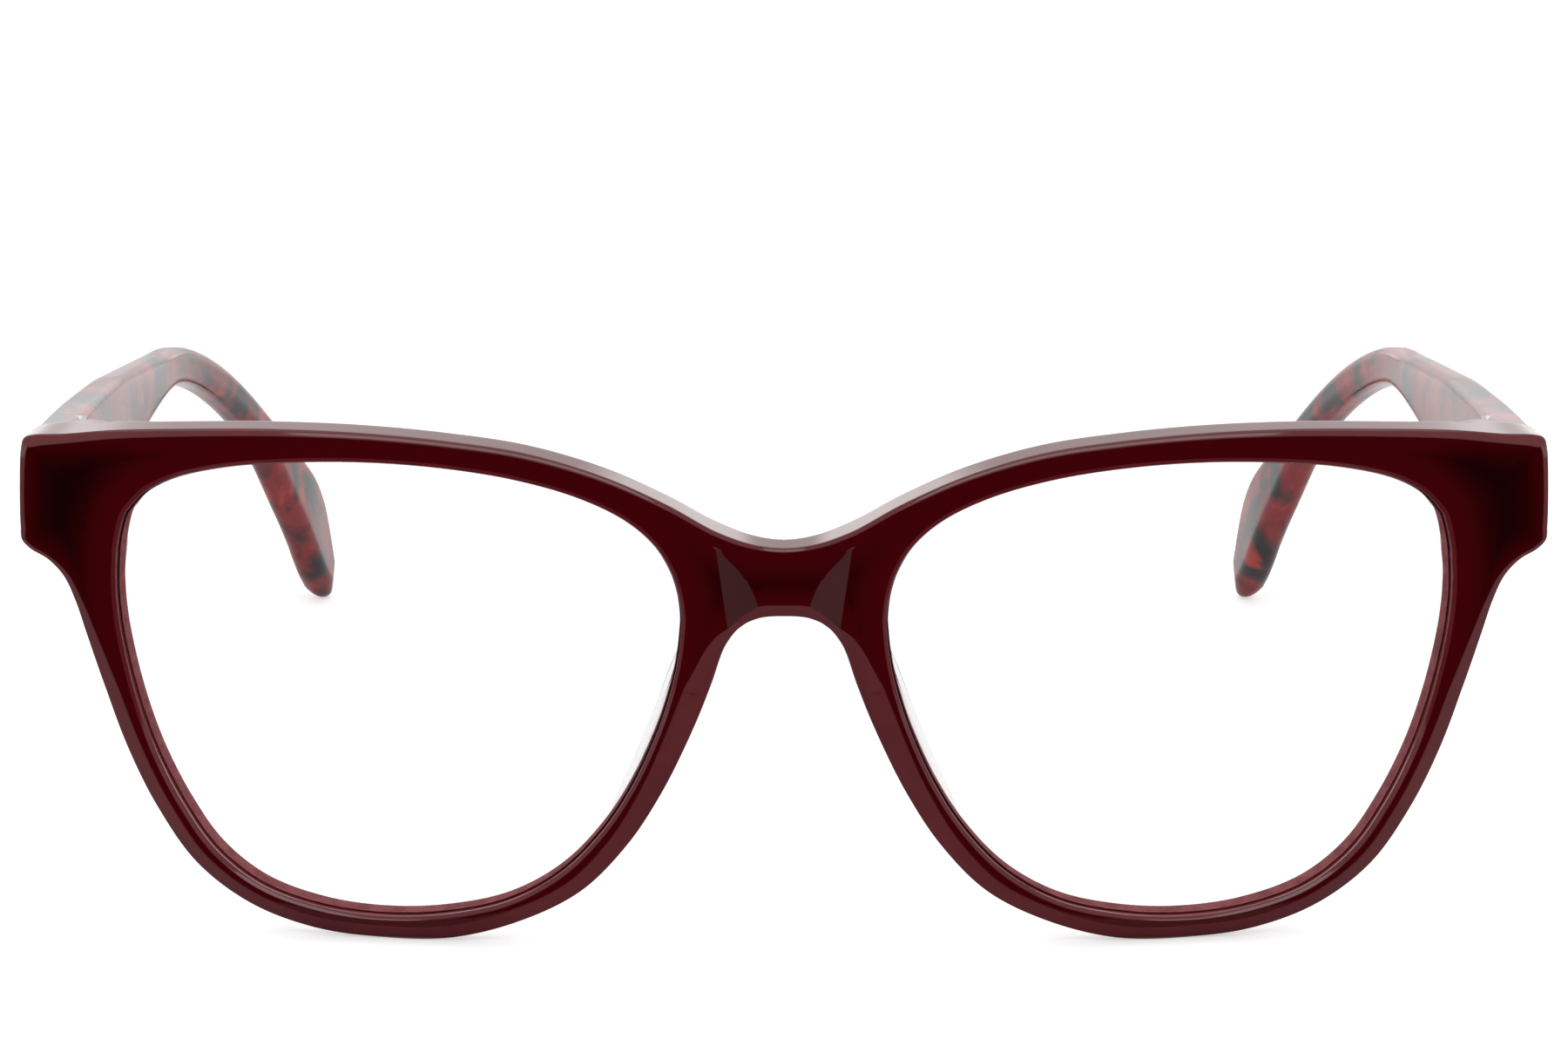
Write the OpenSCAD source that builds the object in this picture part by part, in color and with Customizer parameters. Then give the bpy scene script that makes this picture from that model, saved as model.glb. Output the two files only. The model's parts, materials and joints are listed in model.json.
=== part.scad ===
// Butterfly eyeglasses: an acetate front, two lenses, glued clear nose pads,
// five-barrel hinges with screws, and two acetate temples on metal core wires.
// Everything is drawn in the front's own frame, with x along the front,
// y backwards to the ears and z up the front, and seated() then tips the whole
// so that it stands on the rims and the temple tips. Millimetres.

/* [Lens openings] */
// Width of one lens opening
lens_w = 52.6; // [49:0.1:56]
// Height of one lens opening
lens_h = 44.1; // [40:0.1:48]
// Gap between the two lens openings, across the nose
bridge_gap = 18.6; // [16:0.1:21]

/* [Front] */
// Thickness of the acetate sheet that the front is cut from
front_t = 3.4; // [3.2:0.1:4.2]
// Radius of the wrap of the front round the face
wrap_r = 290; // [230:5:400]
// Length of an end piece, from the lens opening to the outer side
end_l = 9.2; // [8.8:0.1:11]
// Height of the arch over the nose, above the middle of the lens
arch_rise = 7.6; // [6.6:0.1:9]
// Height of the bridge, from the arch to the brow line
bridge_h = 6.8; // [6.4:0.1:7.5]
// Extra thickness at the back of the bridge
bridge_extra = 0.8; // [0.2:0.1:1.5]
// How far the middle of the bridge lies behind the rims
bridge_set_back = 1.0; // [0.7:0.1:1.2]
// Slope of the two side facets of the bridge, in degrees
bridge_side_slope = 15; // [13:1:19]
// Slope of the polished facets along the rims, in degrees
facet_slope = 35; // [25:1:38]
// Depth behind the lens edge to which the end pieces are cut flat
end_depth = 3.1; // [2.8:0.1:3.6]

/* [Lenses] */
// Thickness of the lenses
lens_t = 1.6; // [1.3:0.1:2]
// How far a lens bows forward at its middle
lens_bow = 1.3; // [0.6:0.1:2]
// Depth of the groove that holds the lens
groove_d = 0.6; // [0.5:0.05:0.8]
// Clearance between lens and groove
lens_gap = 0.08; // [0.05:0.01:0.12]

/* [Nose pads] */
// Length of a nose pad along the rim
pad_l = 18.5; // [17:0.5:20]
// Depth of a nose pad behind the rim
pad_d = 6.0; // [5:0.1:7]
// Thickness of a nose pad at its root
pad_t = 2.3; // [1.9:0.1:2.6]
// How far the back of a nose pad leans away from the nose
pad_flare = 1.0; // [0.5:0.1:1.5]
// Thickness of the glue line under a nose pad
glue_t = 0.03; // [0.02:0.01:0.06]

/* [Temples] */
// Length of a temple along its middle line
temple_l = 148; // [143:1:152]
// Thickness of a temple
temple_t = 4.0; // [3.6:0.1:4.8]
// Height of a temple at the hinge
temple_h = 10.5; // [9.5:0.1:11.5]
// Height of a temple over the ear
ear_h = 4.1; // [3.9:0.1:5]
// Height of the paddle near the tip
paddle_h = 10.2; // [8.5:0.1:11]
// Length of the paddle, from where it starts to widen to the tip
paddle_l = 29; // [27:0.5:31]
// Length of the rounding at the tip
tip_round = 3; // [2.5:0.1:3.5]
// Length of the straight stretch before the ear bend
straight_l = 82.7; // [78:0.1:87]
// Radius of the ear bend
ear_r = 60.5; // [55:0.5:65]
// Angle of the ear bend, in degrees
ear_bend = 62; // [57:0.5:66]
// Angle by which the temples turn inwards behind the ears, in degrees
ear_turn = 14.4; // [8:0.1:17]
// Angle between the temples and the square line off the front, in degrees
pantoscopic = 9.0; // [8:0.1:10]
// Gap at the butt joint between the front and a temple
butt_gap = 0.1; // [0.06:0.01:0.15]

/* [Hinges] */
// Height of the five barrels together
hinge_h = 7.5; // [6.5:0.1:8]
// Diameter of the barrels
barrel_d = 2.5; // [2.3:0.1:2.7]
// Diameter of the hinge screw
screw_d = 1.2; // [1.0:0.1:1.4]
// Diameter of the screw head
screw_head_d = 2.1; // [1.8:0.1:2.3]
// Radial clearance of the screw in the barrels of the temple
turn_gap = 0.05; // [0.02:0.01:0.08]
// Gap between neighbouring barrels
barrel_gap = 0.06; // [0.04:0.01:0.1]
// Thickness of the hinge plates
plate_t = 1.0; // [0.8:0.1:1.2]
// Clearance of the hinge plates in their pockets
plate_gap = 0.02; // [0.01:0.01:0.04]
// How far the plates stand proud of the acetate
plate_proud = 0.04; // [0.02:0.01:0.05]
// Length of the plate sunk in the temple
plate_l = 9.0; // [7:0.5:11]
// Depth of the anchor that holds the plate in the front
anchor_d = 1.8; // [1.4:0.1:2.2]
// Gap between the barrels and the inner side of the temple
side_gap = 0.25; // [0.2:0.05:0.4]
// Gap between the barrels and the back of the end piece
back_gap = 0.95; // [0.8:0.05:1.2]
// Width of the flat core wire
core_w = 2.2; // [1.8:0.1:2.5]
// Thickness of the flat core wire
core_t = 1.2; // [1:0.1:1.3]
// Clearance round the core wire
core_gap = 0.04; // [0.03:0.01:0.06]

/* [Hidden] */
$fn = 48;

// Cuts across the rim of the wearer's left half, once round the lens.
// Each row is [lens x, lens z, rim x, rim z, facet width]. The lens edge is measured from
// the middle of the lens, and stands for the sizes in lens_ref.
lens_ref = [52.6, 44.1];
// On the middle line of the bridge rim x is 0 and rim z is a share of the bridge's height.
bridge_cuts = [
    [-26.2, 6.3, 0, 0, 1.4],
    [-26.3, 7.7, 0, 0.33, 1.0],
    [-26.2, 9.2, 0, 0.67, 0.6],
    [-25.95, 10.65, 0, 1, 0.5]];
// Along the brow the rim is measured from the lens edge.
brow_cuts = [
    [-25.35, 12.45, -7.25, 2.45, 0.6],
    [-23.95, 14.8, -5.5, 1.45, 0.6],
    [-21.3, 17.15, -3.65, 1.65, 0.6],
    [-17, 19.25, -2, 2.2, 0.6],
    [-11.15, 20.85, -0.9, 2.55, 0.6],
    [-4.55, 21.75, -0.05, 2.6, 0.6],
    [2.4, 22.05, 0.5, 2.75, 0.6],
    [9.35, 21.75, 1.55, 3.05, 0.6],
    [15.55, 21, 3.35, 3.4, 0.6],
    [20.45, 19.7, 5.45, 4.15, 0.7],
    [23.05, 18.3, 7.8, 4.85, 0.8]];
// Round the end piece the rim is measured inwards and upwards from the outer top corner.
end_cuts = [
    [24.2, 17.2, 1.6, -0.25, 0.9],
    [24.8, 16.45, 0.65, -0.6, 0.9],
    [25.2, 15.9, 0.35, -1.65, 0.7],
    [25.65, 14.55, 0.1, -5.4, 0.6],
    [25.95, 13.25, 0, -9, 0.7],
    [26.1, 12.35, 0.1, -10.35, 0.6],
    [26.15, 11.65, 0.9, -11.2, 0.6],
    [26.25, 10.45, 2.65, -12.15, 0.6],
    [26.3, 9.05, 4, -13.65, 0.8],
    [26.25, 7, 4.95, -15.9, 1.0]];
// Down the outer side, along the bottom and up the nose the rim is measured from the lens edge.
rim_cuts = [
    [25.9, 3.8, 3.75, 0, 1.4],
    [24.75, -1.7, 3.3, -0.1, 1.9],
    [23.05, -6.95, 3, -0.7, 2.0],
    [20.6, -12, 2.8, -1.15, 2.0],
    [17.6, -16.35, 2.15, -1.95, 1.9],
    [13.45, -19.55, 1.2, -2.4, 1.8],
    [7.85, -21.4, 0.7, -2.55, 1.6],
    [1.9, -22, 0.3, -2.55, 1.6],
    [-4.15, -21.55, -0.3, -2.75, 1.6],
    [-10.1, -20, -0.85, -2.4, 1.6],
    [-15.1, -16.95, -1.6, -2.3, 1.7],
    [-19.05, -12.6, -2.05, -1.95, 1.8],
    [-21.85, -8, -2.4, -1.55, 2.0],
    [-24.15, -2.65, -2.55, -1.85, 2.1],
    [-25.2, 0.7, -3.6, -0.05, 1.8],
    [-25.7, 2.7, -4.65, 2.45, 0.8],
    [-25.95, 4.15, -5.85, 2.8, 0.6],
    [-26.1, 5.25, -7.3, 2.2, 1.1]];
cuts = concat(bridge_cuts, brow_cuts, end_cuts, rim_cuts);
last_bridge_cut = len(bridge_cuts) - 1;
last_brow_cut = last_bridge_cut + len(brow_cuts);
last_end_cut = last_brow_cut + len(end_cuts);
// Steps of the smooth curve between two cuts
curve_steps = 2;

// Places of the main features
bottom_rim = 2.15;
lens_mid = [bridge_gap / 2 + lens_w / 2, bottom_rim + lens_h / 2];
arch_z = lens_mid[1] + arch_rise;
end_corner = [bridge_gap / 2 + lens_w + end_l, lens_mid[1] + lens_h / 2 + 1];

// Shape of the rim's section
lens_bevel = 0.4;
edge_r = 0.45;
back_r = 0.55;
groove_half = 0.75;
groove_y = front_t / 2;
// Depth from which the back of the front may be built up or cut flat
hold_y = groove_y + groove_half;
relief_y = groove_y - groove_half;

// Back of the end pieces, where the hinges sit, and the place of the hinge axis
end_y = wrap_depth(end_corner[0] - end_l, front_t) + end_depth;
temple_out = (wrap_r - front_t) * sin(wrap_angle(end_corner[0]));
temple_in_x = temple_out - temple_t;
hinge_x = temple_in_x - side_gap - barrel_d / 2;
hinge_y = end_y + back_gap + barrel_d / 2;
hinge_z = end_corner[1] - 5.7;
temple_y = end_y + butt_gap;

function wrap_angle(s) = s / wrap_r * 180 / PI;
function wrap_depth(s, n) = wrap_r - (wrap_r - n) * cos(wrap_angle(s));
function clamp01(v) = min(1, max(0, v));
function smooth(v) = let(c = clamp01(v)) c * c * (3 - 2 * c);
function lerp(a, b, f) = a + (b - a) * f;
function unit(v) = v / norm(v);

// Lens edge and outer edge at a cut
function lens_at(i) = let(c = cuts[i])
    [lens_mid[0] + c[0] * lens_w / lens_ref[0], lens_mid[1] + c[1] * lens_h / lens_ref[1]];
function outer_at(i) = let(c = cuts[i], p = lens_at(i))
    i <= last_bridge_cut ? [0, arch_z + c[3] * bridge_h] :
    i <= last_brow_cut || i > last_end_cut ? [p[0] + c[2], p[1] + c[3]] :
    [end_corner[0] - c[2], end_corner[1] + c[3]];

// Centripetal spline through four points, from the second at f = 0 to the third at f = 1
function spline(a, b, c, d, f) =
    let(t1 = sqrt(norm(b - a)), t2 = t1 + sqrt(norm(c - b)), t3 = t2 + sqrt(norm(d - c)),
        t = lerp(t1, t2, f),
        ab = lerp(a, b, t / t1),
        bc = lerp(b, c, (t - t1) / (t2 - t1)),
        cd = lerp(c, d, (t - t2) / (t3 - t2)),
        abc = lerp(ab, bc, t / t2),
        bcd = lerp(bc, cd, (t - t1) / (t3 - t1)))
    lerp(abc, bcd, f);

count = len(cuts);
function wrapped(i) = (i + count) % count;
// A cut seen past the middle line is the mirror image of the one on this side.
function mirrored(p) = [-p[0], p[1]];
function lens_curve(i, f) =
    spline(lens_at(wrapped(i - 1)), lens_at(i), lens_at(wrapped(i + 1)), lens_at(wrapped(i + 2)), f);
function outer_curve(i, f) =
    i < last_bridge_cut ? lerp(outer_at(i), outer_at(i + 1), f) :
    let(before = i == last_bridge_cut ? mirrored(outer_at(i + 1)) : outer_at(i - 1),
        after = i == count - 1 ? mirrored(outer_at(i)) : outer_at(wrapped(i + 2)))
    spline(before, outer_at(i), outer_at(wrapped(i + 1)), after, f);

// Direction square to a curve, away from the lens
function outward(along) = unit([along[1], -along[0]]);
nudge = 0.02;
function lens_normal(i, f) = -outward(lens_curve(i, f + nudge) - lens_curve(i, f));
function outer_normal(i, f) =
    i < last_bridge_cut || (i == last_bridge_cut && f == 0) ? [0, i == 0 ? -1 : 1] :
    -outward(outer_curve(i, f + nudge) - outer_curve(i, f));

// Share of the flat hinge seat at the back of the end piece, which eases in along the rim
seat_ease = 4;
function seat_share(p) =
    smooth((p[0] - (hinge_x - barrel_d / 2 - 0.6 - seat_ease)) / seat_ease)
        * smooth((p[1] - (end_corner[1] - 13.6)) / 2.2);
// The middle of the bridge is a shallow dish between the rims, and a flat facet on either side of it
// falls from the rim to its bottom.
dish_half = bridge_gap / 2 - 2.7;
function dish_depth(p) = bridge_set_back * pow(1 - pow(min(abs(p[0]) / dish_half, 1), 2), 1.5);
// Line on which a side facet starts at the rim. Over the facet it turns outwards.
function side_line(z) =
    let(over = z - arch_z)
    bridge_gap / 2 - 4.1 + 0.14 * over + 2 * pow(max(0, over - bridge_h - 0.2), 2);
function facet_depth(p) = tan(bridge_side_slope) * (side_line(p[1]) - p[0]);
// Set-back of the bridge between the rims
function set_back(p) = max(0, min(facet_depth(p), dish_depth(p)));
// Share of the way from a to b at which a side facet starts, and at which it ends at the dish
function facet_start(a, b, lo = 0, hi = 1, n = 14) =
    let(mid = (lo + hi) / 2)
    n == 0 ? mid : facet_depth(lerp(a, b, mid)) > 0 ? facet_start(a, b, lo, mid, n - 1) :
    facet_start(a, b, mid, hi, n - 1);
function facet_end(a, b, lo = 0, hi = 1, n = 14) =
    let(mid = (lo + hi) / 2, p = lerp(a, b, mid))
    n == 0 ? mid : facet_depth(p) > dish_depth(p) ? facet_end(a, b, lo, mid, n - 1) :
    facet_end(a, b, mid, hi, n - 1);
// A point of the front at x and z of the flat sheet and depth n, bent round the wrap. On the bridge
// the whole thickness takes part, and beside the lens grooves only the part in front of or behind them.
function bent(p, n) =
    let(on_bridge = 1 - smooth((p[0] - dish_half) / 1.4),
        back = max(clamp01((n - hold_y) / (front_t - hold_y)), on_bridge * n / front_t),
        seat = seat_share(p) * (end_y - wrap_depth(p[0], front_t)),
        build = bridge_extra * exp(-pow(p[0] / 8, 2)))
    [(wrap_r - n) * sin(wrap_angle(p[0])),
     wrap_depth(p[0], n) + back * (seat + build) + (1 - n / front_t) * set_back(p), p[1]];

// Section of the rim at a cut: up the lens wall with its groove, over the front face,
// down the facet and the outer side, and back over the rear face.
function rim_section(i, f) =
    let(lens = lens_curve(i, f),
        out = outer_curve(i, f),
        in_lens = lens_normal(i, f),
        in_rim = outer_normal(i, f),
        on_bridge = i < last_bridge_cut && !(i == 0 && f == 0),
        wide = lerp(cuts[i][4], cuts[wrapped(i + 1)][4], f),
        share = (out[1] - arch_z) / bridge_h,
        middle = [0, lerp(arch_z + cuts[0][4], arch_z + bridge_h - cuts[last_bridge_cut][4], share)],
        fall = on_bridge ? 0.2 : max(wide - edge_r, wide * 0.4) * tan(facet_slope),
        bevel = lens + in_lens * lens_bevel,
        facet_edge = on_bridge ? middle : out - in_rim * wide,
        near_bridge = smooth((8.5 - facet_edge[0]) / 3),
        first = lerp(0.3, min(facet_start(bevel, facet_edge), 0.92), near_bridge),
        second = max(lerp(0.5, min(facet_end(bevel, facet_edge), 0.96), near_bridge), first + 0.02),
        fore_edge = on_bridge ? middle : out - in_rim * min(edge_r, wide * 0.6),
        fore_mid = on_bridge ? middle : out - in_rim * min(edge_r, wide * 0.6) * 0.3,
        back_mid = on_bridge ? middle : out - in_rim * back_r * 0.3,
        back_edge = on_bridge ? middle : out - in_rim * back_r,
        rim_edge = on_bridge ? middle : out)
    [bent(lens, front_t - lens_bevel),
     bent(lens, groove_y + groove_half),
     bent(lens + in_lens * groove_d, groove_y),
     bent(lens, groove_y - groove_half),
     bent(lens, lens_bevel),
     bent(bevel, 0),
     bent(lerp(bevel, facet_edge, first), 0),
     bent(lerp(bevel, facet_edge, second), 0),
     bent(lerp(bevel, facet_edge, lerp(second, 1, 0.5)), 0),
     bent(lerp(bevel, facet_edge, lerp(second, 1, 0.85)), 0),
     bent(facet_edge, 0),
     bent(fore_edge, fall),
     bent(fore_mid, fall + edge_r * 0.3),
     bent(rim_edge, fall + edge_r),
     bent(rim_edge, front_t - back_r),
     bent(back_mid, front_t - back_r * 0.3),
     bent(back_edge, front_t),
     bent(lerp(back_edge, bevel, 0.5), front_t),
     bent(bevel, front_t)];
section_n = 19;

half_rows = [for (i = [0 : count - 1]) for (k = [0 : curve_steps - 1]) rim_section(i, k / curve_steps)];
row_n = len(half_rows);
half_points = [for (row = half_rows) for (p = row) p];
half_n = len(half_points);
front_points = concat(half_points, [for (p = half_points) [-p[0], p[1], p[2]]]);

// Four-cornered faces of a grid that closes on itself both ways
function grid_faces(rows, cols) =
    [for (r = [0 : rows - 1]) for (c = [0 : cols - 1])
        let(r2 = (r + 1) % rows, c2 = (c + 1) % cols)
        [r * cols + c, r2 * cols + c, r2 * cols + c2, r * cols + c2]];
// Two triangles for each four-cornered face
function split(faces) = [for (q = faces) each [[q[0], q[1], q[2]], [q[0], q[2], q[3]]]];
function flip(faces) = [for (q = faces) [for (k = [len(q) - 1 : -1 : 0]) q[k]]];
// Whether a face lies in the middle plane, where the two halves meet
function in_middle(q) = max([for (k = q) abs(half_points[k][0])]) == 0;
// The mirror image of a corner, or the corner itself on the middle plane
function twin(k) = half_points[k][0] == 0 ? k : k + half_n;
half_faces = [for (q = split(grid_faces(row_n, section_n))) if (!in_middle(q)) q];
front_faces = concat(flip(half_faces), [for (q = half_faces) [for (k = q) twin(k)]]);

// Middle line of a temple: a straight stretch, then the ear bend, then straight to the tip.
// The value is [x, y, z, angle below the square line].
bend_l = ear_r * ear_bend * PI / 180;
function fall_angle(u) = pantoscopic + ear_bend * clamp01((u - straight_l) / bend_l);
arc_x = (temple_in_x + temple_out) / 2;
function line_yz(u) =
    let(a0 = pantoscopic,
        a1 = fall_angle(u),
        straight = min(u, straight_l),
        rest = max(u - straight_l - bend_l, 0))
    [straight * cos(a0) + ear_r * (sin(a1) - sin(a0)) + rest * cos(a1),
     -(straight * sin(a0) + ear_r * (cos(a0) - cos(a1)) + rest * sin(a1))];
// The turn inwards grows smoothly round the middle of the ear bend.
turn_u = straight_l + 10;
turn_soft = 8;
function inward(u) = tan(ear_turn) * turn_soft * ln(1 + exp((u - turn_u) / turn_soft));
function inward_angle(u) = atan(tan(ear_turn) / (1 + exp((turn_u - u) / turn_soft)));

// Height of the temple along its length, as [place, height]
temple_heights = [
    [0, temple_h],
    [straight_l * 0.24, temple_h - 0.2],
    [straight_l * 0.48, lerp(ear_h, temple_h, 0.83)],
    [straight_l * 0.73, lerp(ear_h, temple_h, 0.42)],
    [straight_l * 0.97, lerp(ear_h, temple_h, 0.04)],
    [straight_l * 1.16, ear_h],
    [temple_l - paddle_l, ear_h],
    [temple_l - paddle_l * 0.76, lerp(ear_h, paddle_h, 0.6)],
    [temple_l - paddle_l * 0.59, lerp(ear_h, paddle_h, 0.82)],
    [temple_l - paddle_l * 0.41, paddle_h],
    [temple_l - paddle_l * 0.24, paddle_h * 0.99],
    [temple_l - tip_round, paddle_h * 0.93],
    [temple_l - tip_round * 0.3, paddle_h * 0.66],
    [temple_l, paddle_h * 0.34]];
function height_at(u) =
    let(w = min(6, 0.6 * (temple_l - u)))
    (lookup(u - w, temple_heights) + 2 * lookup(u, temple_heights) + lookup(u + w, temple_heights)) / 4;
// The temple gets a little thinner towards the ear, and is rounded off at the tip.
function tip_share(u) = sqrt(clamp01((temple_l + tip_round * 0.2 - u) / tip_round));
function thickness_at(u) = temple_t * (1 - 0.1 * clamp01(u / temple_l)) * tip_share(u);
// The tip tapers mostly from above, so its middle line drops.
function tip_drop(u) =
    (paddle_h - height_at(u)) / 4 * smooth((u - temple_l + paddle_l / 2) / tip_round);

// A point of the temple at u along it, a across it and b up it. Near the hinge the
// section stands square to the front, and past blend_l square to the temple.
blend_l = 16;
function temple_point(u, a, b) =
    let(p = line_yz(u),
        e = fall_angle(u) * smooth(u / blend_l),
        k = inward_angle(u),
        up = b - tip_drop(u))
    [arc_x - inward(u) + a * cos(k), temple_y + p[0] + up * sin(e) + a * sin(k) * cos(e),
     hinge_z - 0.6 + p[1] + up * cos(e) - a * sin(k) * sin(e)];

// Corners of a rounded bar with half width a, half height b and corner radius r
function rounded_bar(a, b, r) =
    [for (q = [0 : 3]) for (s = [0 : 2])
        let(cx = (q == 0 || q == 3 ? 1 : -1) * (a - r),
            cy = (q < 2 ? 1 : -1) * (b - r),
            t = 90 * q + 45 * s)
        [cx + r * cos(t), cy + r * sin(t)]];
// A tube of sections with closed ends
function tube_faces(rows, cols) = flip(concat(
    [[for (c = [0 : cols - 1]) c]],
    split([for (r = [0 : rows - 2]) for (c = [0 : cols - 1]) let(c2 = (c + 1) % cols)
        [r * cols + c, (r + 1) * cols + c, (r + 1) * cols + c2, r * cols + c2]]),
    [[for (c = [cols - 1 : -1 : 0]) (rows - 1) * cols + c]]));

// Places along the temple at which it has a section, closer together in the ear bend and at the tip
near_n = 4;
mid_n = 9;
bend_n = 17;
near_l = 18;
mid_l = straight_l - 1.7;
paddle_end = temple_l - 13;
temple_stations = concat(
    [for (k = [0 : near_n - 1]) near_l * k / (near_n - 1)],
    [for (k = [1 : mid_n]) lerp(near_l, mid_l, k / mid_n)],
    [for (k = [1 : bend_n]) lerp(mid_l, paddle_end, k / bend_n)],
    [for (v = [10, 7, 5]) temple_l - v],
    [for (v = [1, 0.6, 0.3, 0.1, 0]) temple_l - v * tip_round]);
temple_edge_r = 0.7;
temple_points = [for (u = temple_stations)
    let(a = thickness_at(u) / 2, b = height_at(u) / 2)
    for (q = rounded_bar(a, b, min(temple_edge_r, 0.8 * min(a, b)))) temple_point(u, q[0], q[1])];

// Core wire, in the middle of the temple, from just behind the end face to the paddle
core_in = 0.4;
core_end = temple_l - 12;
core_stations = concat(
    [for (k = [0 : 8]) lerp(core_in, straight_l, k / 8)],
    [for (k = [1 : 10]) lerp(straight_l, core_end, k / 10)]);
function core_points(stations, gap) =
    let(a = core_t / 2 + gap, b = core_w / 2 + gap)
    [for (u = stations) for (q = [[a, b], [-a, b], [-a, -b], [a, -b]]) temple_point(u, q[0], q[1])];

// Angle at which the rims and the temple tips both touch the table, found step by step
function low(points, tilt) = min([for (p = points) p[1] * sin(tilt) + p[2] * cos(tilt)]);
tip_reach = line_yz(temple_l)[0];
function settled(tilt, n) = n == 0 ? tilt :
    settled(tilt + atan((low(half_points, tilt) - low(temple_points, tilt)) / tip_reach), n - 1);
rest_tilt = settled(pantoscopic / 2, 12);
rest_z = low(half_points, rest_tilt);
function reach(points) = [for (p = points) p[1] * cos(rest_tilt) - p[2] * sin(rest_tilt)];
mid_y = (min(reach(half_points)) + max(reach(temple_points))) / 2;

module seated() {
    translate([0, -mid_y, -rest_z])
        rotate([rest_tilt, 0, 0])
            children();
}

// The left side as the wearer sees it lies at positive x here, and the right side is its mirror image.
module on_side(side) {
    if (side == "left")
        children();
    else
        mirror([1, 0, 0])
            children();
}

// Plate and anchor of the front hinge, sunk in the end piece. With a gap they cut their own pocket.
plate_w = barrel_d + 0.6;
plate_h = hinge_h + 0.8;
anchor_w = 1.4;
anchor_h = 4;
module front_plate(grow = 0, cut = 0) {
    deep = plate_t + plate_proud + grow + cut;
    translate([hinge_x - barrel_d / 2 - grow, end_y - plate_t - grow, hinge_z - plate_h / 2 - grow])
        cube([plate_w + 2 * grow, deep, plate_h + 2 * grow]);
    translate([hinge_x, end_y - plate_t - anchor_d - grow, hinge_z])
        translate([-anchor_w / 2 - grow, 0, -anchor_h / 2 - grow])
            cube([anchor_w + 2 * grow, anchor_d + grow + plate_t / 2, anchor_h + 2 * grow]);
}

// Plate of the temple hinge, sunk in the inner side of the temple
temple_plate_h = hinge_h - 1.2;
module temple_plate(grow = 0, cut = 0) {
    in_x = temple_in_x - plate_proud - cut;
    translate([in_x, hinge_y - barrel_d / 2 - grow, hinge_z - temple_plate_h / 2 - grow])
        cube([plate_t + plate_proud + grow + cut, plate_l + 2 * grow, temple_plate_h + 2 * grow]);
}

// One of the five barrels, counted from the bottom
barrel_pitch = hinge_h / 5;
module barrel(k, bore) {
    translate([hinge_x, hinge_y, hinge_z - hinge_h / 2 + k * barrel_pitch + barrel_gap / 2])
        difference() {
            children();
            translate([0, 0, -1])
                cylinder(d = bore, h = barrel_pitch + 2);
        }
}

screw_head_h = 0.5;
module screw_at_axis() {
    translate([hinge_x, hinge_y, hinge_z]) {
        translate([0, 0, -hinge_h / 2 + 0.1])
            cylinder(d = screw_d, h = hinge_h - 0.1 - barrel_gap / 2);
        translate([0, 0, hinge_h / 2 - barrel_gap / 2])
            cylinder(d = screw_head_d, h = screw_head_h);
    }
}

module front() {
    color([0.16, 0.01, 0.02])
        seated()
            difference() {
                polyhedron(points = front_points, faces = front_faces, convexity = 8);
                for (side = ["left", "right"])
                    on_side(side)
                        front_plate(plate_gap, 3);
            }
}

// Lens: a bowed shell whose V edge sits in the groove
lens_rings = [1, 0.66, 0.33];
function lens_skin(y, ring, off) =
    [for (i = [0 : count - 1]) for (k = [0 : curve_steps - 1])
        let(f = k / curve_steps, edge = lens_curve(i, f) + lens_normal(i, f) * off)
        bent(lerp(lens_mid, edge, ring), y - lens_bow * (1 - ring * ring))];
lens_front = groove_y - lens_t / 2;
lens_back = groove_y + lens_t / 2;
function lens_points() = concat(
    [bent(lens_mid, lens_front - lens_bow)],
    [for (k = [len(lens_rings) - 1 : -1 : 0]) each lens_skin(lens_front, lens_rings[k], -lens_gap)],
    lens_skin(groove_y, 1, groove_d - 1.5 * lens_gap),
    [for (k = [0 : len(lens_rings) - 1]) each lens_skin(lens_back, lens_rings[k], -lens_gap)],
    [bent(lens_mid, lens_back - lens_bow)]);
module lens(side) {
    rings = 2 * len(lens_rings) + 1;
    last = rings * row_n + 1;
    last_ring = last - row_n;
    faces = concat(
        [for (c = [0 : row_n - 1]) [0, 1 + c, 1 + (c + 1) % row_n]],
        split([for (r = [0 : rings - 2]) for (c = [0 : row_n - 1])
            let(here = 1 + r * row_n, next = here + row_n, c2 = (c + 1) % row_n)
            [here + c, next + c, next + c2, here + c2]]),
        [for (c = [0 : row_n - 1]) [last, last_ring + (c + 1) % row_n, last_ring + c]]);
    color([0.93, 0.96, 0.97, 0.4])
        seated()
            on_side(side)
                polyhedron(points = lens_points(), faces = faces, convexity = 4);
}

// Nose pad: a leaf of clear acetate along the back of the rim beside the nose. Each row is the distance
// from the middle line, beyond half the bridge gap, and the height above the middle of the lens. It stands
// for the length in pad_ref_l.
pad_ref_l = 18.5;
pad_line = [[-1.2, 4.3], [0, 0.2], [1.5, -4.5], [3.5, -9.1], [6.05, -13.3]];
pad_last = len(pad_line) - 1;
function pad_at(k) =
    k < 0 ? 2 * pad_at(0) - pad_at(1) :
    k > pad_last ? 2 * pad_at(pad_last) - pad_at(pad_last - 1) :
    lerp(pad_line[2], pad_line[k], pad_l / pad_ref_l) + [bridge_gap / 2, lens_mid[1]];
function pad_mid(f) =
    let(v = f * pad_last, i = min(max(floor(v), 0), pad_last - 1))
    spline(pad_at(i - 1), pad_at(i), pad_at(i + 1), pad_at(i + 2), v - i);
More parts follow.
